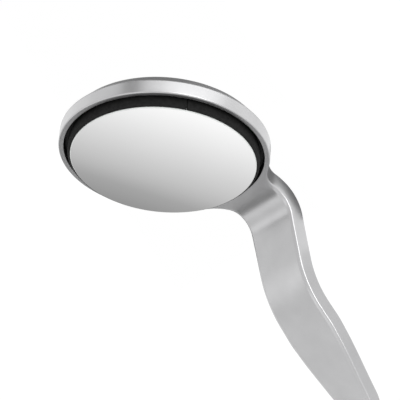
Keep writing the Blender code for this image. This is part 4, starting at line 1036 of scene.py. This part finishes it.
@dataclass
class Handle:
    """The handle's outer pieces, turned about its axis and milled flat on top and below."""

    radius: float = 7.25
    flat: float = 6.75
    bore: float = 5.95
    nose_tip: float = 3.3
    nose_bore: float = 2.03
    nose_floor: float = 58.9
    button_half: tuple[float, float] = (4.5, 2.0)
    button_top: float = 7.25
    guide_radius: float = 0.78
    rings: int = 4
    ring_width: float = 2.2
    ring_bore: float = 6.34
    drop: float = 0.05
    flutes: int = 12
    flute_columns: int = 32
    flute_radius: float = 0.6
    flute_reach: float = 6.8
    flute_start: float = 170.8
    cap_radius: float = 6.6
    insert: float = 5.8
    spring_wire: float = 0.25
    spring_start: float = 2.2
    spring_growth: float = 2.1
    spring_turns: int = 4
    pin: float = 0.25
    pin_aside: float = 0.6

    def flatted(self, profile: Array, flat: float, steps: int = 320, ring: bool = True) -> Skin:
        """A turned piece with two flats.

        Formula: at angle a the radius is the smaller of the profile's and flat / |cos a|, softly blended.

        Args:
            profile: (radius, height) rows.
            flat: half the distance between the flats.
            steps: how many columns go round.
            ring: whether the profile is closed.
        Returns:
            The closed skin.
        """
        angle = np.linspace(0.0, 2 * np.pi, steps, endpoint=False)[None, :]
        limit = flat / np.maximum(np.abs(np.cos(angle)), 1e-3)
        radius = soft_minimum(profile[:, :1] + 0 * angle, limit + 0 * profile[:, :1], 0.08)
        grid = np.stack([radius * np.cos(angle), radius * np.sin(angle), profile[:, 1:] + 0 * angle], axis=-1)
        return Skin().add(grid, wrap_rows=ring, wrap_columns=True)

    def slot_points(self, half_length: float, half_width: float, count: int = 64) -> Array:
        """Points round a slot with round ends, long way along z, as (across, along) rows."""
        angle = np.linspace(0.0, 2 * np.pi, count, endpoint=False)
        shift = np.where(np.sin(angle) >= 0, 1.0, -1.0) * (half_length - half_width)
        return np.stack([half_width * np.cos(angle), shift + half_width * np.sin(angle)], axis=1)

    def slot_stack(self, levels: Sequence[tuple[float, float]], at: float, half: tuple[float, float]) -> Skin:
        """Slots of the same middle stacked up the handle's x, each grown by its level's margin.

        Args:
            levels: (height, margin) rows from the bottom to the top.
            at: the slot's place along the handle.
            half: half its length and width with no margin.
        Returns:
            The closed skin, whose ends are closed on the middle.
        """
        rings = []
        for height, margin in levels:
            flat = self.slot_points(half[0] + margin, half[1] + margin)
            rings.append(np.stack([0 * flat[:, 0] + height, flat[:, 0], flat[:, 1] + at], axis=1))
        grid = np.stack(rings)
        middle = np.broadcast_to([0.0, at], (1, grid.shape[1], 2))
        first, last = (np.concatenate([grid[[k], :, :1], middle], axis=2) for k in (0, -1))
        return Skin().add(np.concatenate([first, grid, last]), wrap_columns=True)

    def build_barrel(self, place: Place) -> None:
        """The tube, with ring grooves, the button's slot and the light's hole, each with a broken edge."""
        start, end = along_handle("barrel")
        corners = [(self.bore, start + 1, 0), (self.bore, start, 0.1), (self.radius, start, 0.12)]
        groove = self.ring_bore - 0.03
        for k in range(self.rings):
            low, high = along_handle(f"grip_ring_{k + 1}")
            low, high = low - 0.03, high + 0.03
            corners += [(self.radius, low, 0.12), (groove, low, 0.05)]
            corners += [(groove, high, 0.05), (self.radius, high, 0.12)]
        corners += [(self.radius, end, 0.2), (self.bore, end, 0.15), (self.bore, start + 1.2, 0)]
        profile = rounded(corners, 5)
        low, high = along_handle("power_button")
        at = (low + high) / 2
        levels = [(4.0, 0.1), (6.6, 0.1), (6.66, 0.12), (6.76, 0.22), (8.0, 1.46)]
        slot = self.slot_stack(levels, at, self.button_half)
        hole_at = sum(along_handle("light_guide")) / 2
        rim = self.guide_radius + 0.02
        bore = [(0.0, 4.4, 0), (rim, 4.4, 0), (rim, 6.68, 0.1)]
        hole = rounded([*bore, (rim + 0.14, 6.82, 0), (rim + 0.14, 8.0, 0), (0.0, 8.0, 0)], 4)
        upright = Place(place.put(np.array([0.0, 0.0, hole_at])), place.z, place.y, place.x)
        cutters = [helper(slot, place), helper(turned(hole, 48), upright)]
        Piece("barrel", "handle", TURNED_ALUMINIUM).show(self.flatted(profile, self.flat), place, cutters)
        for k in range(self.rings):
            self.build_ring(place, k + 1)
        self.build_guide(upright)

    def build_ring(self, place: Place, number: int) -> None:
        """A grip ring: a crowned band of silicone with two fine grooves."""
        low, high = along_handle(f"grip_ring_{number}")
        t = np.linspace(0.0, 1.0, 41)
        grooves = sum(np.exp(-(((t - middle) / 0.035) ** 2)) for middle in (0.33, 0.67))
        crown = self.radius - self.drop - 0.10 * (2 * t - 1) ** 2 - 0.09 * grooves
        inset = 0.12
        outer = np.stack([crown, low + inset + t * (high - low - 2 * inset)], axis=1)
        ends = [(self.ring_bore, low), (crown[0] - inset, low), (crown[0] - 0.035, low + 0.035)]
        tail = [(crown[-1] - 0.035, high - 0.035), (crown[-1] - inset, high), (self.ring_bore, high)]
        profile = np.concatenate([ends, outer, tail])
        skin = self.flatted(profile, self.flat - self.drop, 240)
        Piece(f"grip_ring_{number}", "handle", BLACK_SILICONE, 40.0).show(skin, place)

    def build_guide(self, upright: Place) -> None:
        """The light guide: a clear rod with a low domed tip."""
        top = self.flat - 0.02
        foot = [(self.guide_radius, 2.95), (self.guide_radius - 0.1, 2.85), (0.0, 2.85)]
        profile = np.array([*dome_points(self.guide_radius, 0.16, top, 12), *foot])
        Piece("light_guide", "handle", CLEAR_ACRYLIC).show(turned(profile, 64), upright)

    def build_button(self, place: Place) -> None:
        """The button: a soft-edged pad with a dished top and one raised dot to find by touch."""
        low, high = along_handle("power_button")
        at = (low + high) / 2
        levels = [(4.45, 0.6), (4.5, 0.6), (4.98, 0.6), (5.0, 0.58), (5.02, 0.0)]
        soft, dish = 0.35, 0.10
        turn = np.linspace(0, np.pi / 2, 8)
        levels += [(self.button_top - soft + soft * np.sin(a), -soft * (1 - np.cos(a))) for a in turn]
        levels += [(self.button_top - dish * share, -soft - 1.6 * share) for share in (0.15, 0.35, 0.6, 1.0)]
        skin = self.slot_stack(levels, at, self.button_half)
        dot = Place(place.put(np.array([0.0, 0.0, at])), place.z, place.y, place.x)
        top = self.button_top
        bead = 0.42
        profile = np.array([*dome_points(bead, 0.2, top, 9), (bead, top - 0.3), (0.0, top - 0.3)])
        local = dot.put(turned_grid(profile, 40))
        back = np.stack([(local - place.origin) @ axis for axis in (place.x, place.y, place.z)], axis=-1)
        skin.add(back, wrap_columns=True)
        Piece("power_button", "button", BLACK_SILICONE, 40.0).show(skin, place)

    def build_nose(self, place: Place) -> None:
        """The tapered nose: radius grows as the sine of a quarter turn from its tip to the barrel."""
        start, end = along_handle("nose_cone")
        seat = along_handle("barrel")[0] - 0.03
        t = np.linspace(0.0, 1.0, 60)[:, None]
        width = self.nose_tip + (self.radius - self.nose_tip) * np.sin(t * np.pi / 2)
        taper = np.concatenate([width, start + 0.2 + (seat - start - 0.2) * t], axis=1)
        mouth = [(self.nose_bore, self.nose_floor, 0), (self.nose_bore, start, 0.2)]
        tip = rounded([*mouth, (self.nose_tip, start, 0.2), (*taper[3], 0)], 5)
        spigot, groove, pocket = 5.9, 5.48, 4.25
        outside = [(self.radius, seat, 0), (spigot, seat, 0.05), (spigot, seat + 2.03, 0)]
        seal = [(groove, seat + 2.03, 0), (groove, seat + 3.03, 0), (spigot, seat + 3.03, 0), (spigot, end, 0.1)]
        inside = rounded([*outside, *seal, (pocket, end, 0.1), (pocket, self.nose_floor, 0)], 3)
        skin = self.flatted(np.concatenate([tip[:-1], taper[3:-1], inside]), self.flat)
        Piece("nose_cone", "handle", TURNED_ALUMINIUM).show(skin, place)

    def build_cap(self, place: Place) -> None:
        """The screw cap's fluted head, with a domed end.

        Formula for the flutes: the radius at angle d from a flute's middle is at most
        reach cos d - sqrt(flute^2 - (reach sin d)^2), a ball-ended cut that fades in near the barrel.
        """
        start, end = along_handle("battery_cap")
        wide, socket = self.cap_radius, 4.6
        foot = [(0.0, 175.0, 0), (socket, 175.0, 0), (socket, start, 0.05)]
        foot += [(wide, start, 0.15), (wide, 176.0, 0)]
        body = np.array([(wide, height) for height in np.linspace(start + 0.4, 178.0, 60)])
        top = [(wide, 178.0, 0), (wide, end - 0.9, 0.9), (wide - 1.1, end - 0.12, 0.8)]
        crown = rounded([*top, (wide - 2.0, end, 1.2), (0.0, end, 0)], 6)[1:]
        profile = np.concatenate([rounded(foot, 4)[:-1], body, crown])
        angle = np.linspace(0.0, 2 * np.pi, self.flutes * self.flute_columns, endpoint=False)[None, :]
        radius, height = profile[:, :1] + 0 * angle, profile[:, 1:] + 0 * angle
        turn = 2 * np.pi / self.flutes
        away = (angle % turn) - turn / 2
        hit = self.flute_radius**2 - (self.flute_reach * np.sin(away)) ** 2
        bite = self.flute_reach * np.cos(away) - np.sqrt(np.maximum(hit, 0.0))
        bite = np.where(hit > 0, bite, 99.0)
        fade = np.clip((height - self.flute_start) / self.flute_radius, 0.0, 1.0)
        bite = bite + (1 - np.sqrt(1 - (1 - fade) ** 2)) * 0.6
        outer = np.arange(len(profile))[:, None] >= len(profile) - len(body) - len(crown)
        fluted = (height > self.flute_start - 0.1) & outer
        radius = np.where(fluted, soft_minimum(radius, bite, 0.05), radius)
        grid = np.stack([radius * np.cos(angle), radius * np.sin(angle), height], axis=-1)
        skin = Skin().add(grid, wrap_columns=True)
        Piece("battery_cap", "cap", TURNED_ALUMINIUM).show(skin, place)

    def build_insert(self, place: Place) -> None:
        """The cap's steel insert: a threaded spigot with the seal's groove, and the stub that holds the head.

        Formula: the thread is a small wave of one millimetre's pitch, moved round by the angle.
        """
        start, end = along_handle("cap_insert")
        hollow, groove, stub, full = 4.9, 5.38, 4.58, self.insert
        thread = np.array([(full, height) for height in np.linspace(start + 0.2, 167.5, 70)])
        mouth = [(0.0, 167.2, 0), (hollow, 167.2, 0.2), (hollow, start, 0.1), (full - 0.05, start, 0)]
        mouth = rounded(mouth, 4)
        seat = [(full, 167.6), (groove, 167.6), (groove, 168.6), (full, 168.6)]
        tail = [(full, 169.27), (stub, 169.27), (stub, end), (0.0, end)]
        profile = np.concatenate([mouth, thread, seat, tail])
        angle = np.linspace(0.0, 2 * np.pi, 200, endpoint=False)[None, :]
        radius, height = profile[:, :1] + 0 * angle, profile[:, 1:] + 0 * angle
        threaded = (profile[:, :1] == full) & (height > start + 0.25) & (height < 167.45)
        radius = radius - threaded * 0.11 * (1 - np.cos(2 * np.pi * height + angle))
        grid = np.stack([radius * np.cos(angle), radius * np.sin(angle), height], axis=-1)
        Piece("cap_insert", "cap", GROUND_STEEL).show(Skin().add(grid, wrap_columns=True), place)

    def build_seals(self, place: Place) -> None:
        """The rings that show when the head or the cap comes off: plain round sections."""
        rings = {"stem_o_ring_1": "head_unit", "stem_o_ring_2": "head_unit", "cap_o_ring": "cap"}
        for name, body in rings.items():
            low, high = along_handle(name)
            bottom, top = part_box(name)
            outer = (top.y - bottom.y) / MM / 2
            section = (high - low) / 2
            inner = outer - 0.44 if name.startswith("stem") else outer - 0.5
            angle = np.linspace(0.0, 2 * np.pi, 24, endpoint=False)
            middle = (outer + inner) / 2
            across = middle + (outer - inner) / 2 * np.cos(angle)
            loop = np.stack([across, (low + high) / 2 + section * np.sin(angle)], axis=1)
            Piece(name, body, BLACK_SILICONE).show(turned(loop, 96, ring=True), place)

    def build_spring(self, place: Place) -> None:
        """The cap's conical spring: wire along a helix whose radius grows evenly."""
        low, high = along_handle("cap_spring")
        wire = self.spring_wire
        t = np.linspace(0.0, 1.0, 260)
        angle = 2 * np.pi * self.spring_turns * t
        radius = self.spring_start + self.spring_growth * t
        height = low + wire + (high - low - 2 * wire) * t
        path = np.stack([radius * np.cos(angle), radius * np.sin(angle), height], axis=1)
        Piece("cap_spring", "cap_carrier", GROUND_STEEL, 60.0).show(tube_along(path, wire), place)

    def build_pins(self, place: Place) -> None:
        """The plug's two pins: round wire with a domed tip."""
        for number, side in ((1, -1), (2, 1)):
            low, high = along_handle(f"plug_pin_{number}")
            profile = np.array([*dome_points(self.pin, self.pin, high, 10), (self.pin, low), (0.0, low)])
            aside = Place(place.put(np.array([0.0, side * self.pin_aside, 0.0])), place.x, place.y, place.z)
            Piece(f"plug_pin_{number}", "head_unit", GOLD_PLATE).show(turned(profile, 32), aside)

    def build(self, place: Place) -> None:
        """Makes every outer piece of the handle."""
        self.build_nose(place)
        self.build_barrel(place)
        self.build_button(place)
        self.build_cap(place)
        self.build_insert(place)
        self.build_seals(place)
        self.build_spring(place)
        self.build_pins(place)


# ---------------------------------------------------------------- studio


@dataclass(frozen=True)
class Card:
    """A flat card near the object: a softbox if it glows, a flag if it is dark. The camera doesn't see it."""

    name: str
    glow: float
    size: tuple[float, float]
    toward: tuple[float, float, float]
    distance: float
    stops: tuple[Stop, ...] = ((0.0, "FFFFFF"), (1.0, "FFFFFF"))
    across: tuple[float, float, float] = (0.0, 0.0, 1.0)

    def corners(self, centre: Array) -> Array:
        """The card's corners: it stands away from the centre, square to the direction that it lies in."""
        out = np.array(self.toward) / np.linalg.norm(self.toward)
        first = np.array(self.across) - (np.array(self.across) @ out) * out
        first /= np.linalg.norm(first)
        second = np.cross(out, first)
        signs = np.array([(-1, -1), (1, -1), (1, 1), (-1, 1)]) / 2
        spread = signs[:, :1] * self.size[0] * first + signs[:, 1:] * self.size[1] * second
        return centre + out * self.distance + spread

    def build(self, centre: Array) -> None:
        """Makes the card.

        Args:
            centre: what the card is placed about, in metres.
        """
        mesh = bpy.data.meshes.new(self.name)
        mesh.from_pydata(self.corners(centre), [], [(0, 1, 2, 3)])
        mapped = mesh.uv_layers.new(name="ramp")
        mapped.data.foreach_set("uv", [0.0, 0.0, 1.0, 0.0, 1.0, 1.0, 0.0, 1.0])
        obj = bpy.data.objects.new(self.name, mesh)
        bpy.context.scene.collection.objects.link(obj)
        obj.visible_camera = False
        obj.data.materials.append(self.material())
        obj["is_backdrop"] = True
        LOG.info("%s: studio card", self.name)

    def material(self) -> bpy.types.Material:
        """The card's light, ramped from one side to the other."""
        material = bpy.data.materials.new(self.name)
        material.use_nodes = True
        tree = material.node_tree
        tree.nodes.remove(tree.nodes["Principled BSDF"])
        place = add_node(tree, "UVMap", {"uv_map": "ramp"})
        split = add_node(tree, "SeparateXYZ", {}, {"Vector": place.outputs["UV"]})
        ramp = add_node(tree, "ValToRGB", {"stops": list(self.stops)}, {"Fac": split.outputs["X"]})
        light = add_node(tree, "Emission", {"Strength": self.glow}, {"Color": ramp.outputs["Color"]})
        tree.links.new(light.outputs["Emission"], tree.nodes["Material Output"].inputs["Surface"])
        return material


@dataclass
class Studio:
    """Floor, lights and camera."""

    floor_half: float = 1.6
    ambient: float = 0.84
    slope: float = np.radians(72.0)
    stops: tuple[Stop, ...] = (
        (0.22, "959595"), (0.34, "A6A6A6"), (0.42, "BABABA"), (0.475, "C4C4C4"),
        (0.64, "DADADA"), (0.80, "EDEDED"), (0.94, "FBFBFB"),
    )
    cards: tuple[Card, ...] = (
        Card("bend_softbox", 0.98, (0.18, 0.30), (-0.30, 0.67, 0.68), 0.45),
        Card("face_softbox", 1.12, (0.16, 0.16), (0.42, 0.67, 0.60), 0.45),
        Card("end_flag", 0.76, (0.08, 0.16), (0.02, 0.67, 0.74), 0.42),
        Card("wall_flag", 0.15, (0.14, 0.12), (0.97, -0.19, 0.11), 0.40),
        Card("edge_softbox", 3.4, (0.22, 0.42), (0.16, -0.98, 0.13), 0.45),
        Card("overhead_softbox", 1.3, (0.12, 0.16), (0.0, -0.15, 1.0), 0.40),
    )
    table_cards: tuple[tuple[str, float, Pair, Pair], ...] = (
        ("table_flag", 0.2, (0.030, 0.032), (0.097, 0.006)),
        ("table_flag_at_root", 0.2, (0.013, 0.0275), (0.0755, 0.00825)),
        ("table_shade", 0.86, (0.045, 0.030), (0.043, -0.017)),
        ("table_bounce", 1.5, (0.21, 0.28), (0.194, -0.161)),
    )
    lens: float = 267.7
    distance: float = 0.350
    toward_camera: tuple[float, float, float] = (0.0206, -0.6709, 0.7413)
    up: tuple[float, float, float] = (0.8453, -0.3843, -0.3713)
    aim_offset: tuple[float, float, float] = (-0.00686, -0.0006, -0.00036)

    def build_floor(self) -> None:
        """A plain pale floor, lit from below like a light table, under the lowest point of the object."""
        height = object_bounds()[0].z - 0.02 * MM
        side = self.floor_half
        mesh = bpy.data.meshes.new("studio_floor")
        corners = [(x * side, y * side, height) for x, y in ((-1, -1), (1, -1), (1, 1), (-1, 1))]
        mesh.from_pydata(corners, [], [(0, 1, 2, 3)])
        floor = bpy.data.objects.new("studio_floor", mesh)
        bpy.context.scene.collection.objects.link(floor)
        floor.data.materials.append(OPAL_TABLE.material())
        floor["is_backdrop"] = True

    def build_world(self) -> None:
        """An even, soft surrounding light."""
        world = bpy.data.worlds.new("studio")
        world.use_nodes = True
        world.node_tree.nodes["Background"].inputs["Color"].default_value = (1.0, 1.0, 1.0, 1.0)
        world.node_tree.nodes["Background"].inputs["Strength"].default_value = self.ambient
        bpy.context.scene.world = world

    def build_cards(self, place: Place) -> None:
        """The softboxes and flags, and the gradient card that the glass mirrors.

        That card stands where the view is thrown by the glass: its axes are the camera's own, mirrored in the
        glass, so a ramp on it runs across the glass in the same direction.

        Args:
            place: the head's frame.
        """
        out = np.array(self.toward_camera)
        thrown = 2 * (out @ place.z) * place.z - out
        up = np.array(self.up)
        right = np.cross(up, out)
        ramp = right * np.cos(self.slope) + up * np.sin(self.slope)
        ramp = ramp - 2 * (ramp @ place.z) * place.z
        centre = place.put(np.array([0.0, 0.0, 1.13])) * MM
        size = (0.032, 0.064)
        Card("mirror_gradient_card", 1.067, size, tuple(thrown), 0.30, self.stops, tuple(ramp)).build(centre)
        Card("root_flag", 0.27, (0.26, 0.26), tuple(thrown + [0.0, 0.0, 0.10]), 0.33).build(centre)
        for card in self.cards:
            card.build(centre)
        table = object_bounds()[0].z - 0.01 * MM
        for name, glow, size, middle in self.table_cards:
            card = Card(name, glow, size, (0.0, 0.0, 1.0), 0.0, across=(1.0, 0.0, 0.0))
            card.build(np.array([*middle, table]))

    def build_camera(self, place: Place) -> None:
        """A long lens, turned so that the neck runs down to the right."""
        lens = bpy.data.cameras.new("camera")
        lens.lens = self.lens
        lens.sensor_width = 36.0
        lens.clip_start, lens.clip_end = 0.01, 10.0
        camera = bpy.data.objects.new("camera", lens)
        bpy.context.scene.collection.objects.link(camera)
        back = Vector(self.toward_camera).normalized()
        up = Vector(self.up).normalized()
        right = up.cross(back).normalized()
        turn = Matrix((right, back.cross(right), back)).transposed().to_4x4()
        aim = Vector(place.origin * MM) + Vector(self.aim_offset)
        camera.matrix_world = Matrix.Translation(aim + back * self.distance) @ turn
        bpy.context.scene.camera = camera

    def build(self, place: Place) -> None:
        """Makes the studio round the finished object."""
        self.build_floor()
        self.build_world()
        self.build_cards(place)
        self.build_camera(place)
        bpy.context.scene.view_settings.view_transform = "Standard"


def main() -> None:
    """Builds the object, dresses it and sets up the studio."""
    logging.basicConfig(level=logging.INFO, format="%(message)s")
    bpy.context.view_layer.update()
    head, turning = head_place(), turning_place()
    shell = HeadFrame()
    shell.build(head)
    Head().build(head, shell.line)
    Handle().build(turning)
    dress_inner_pieces()
    Studio().build(head)


if __name__ == "__main__":
    main()
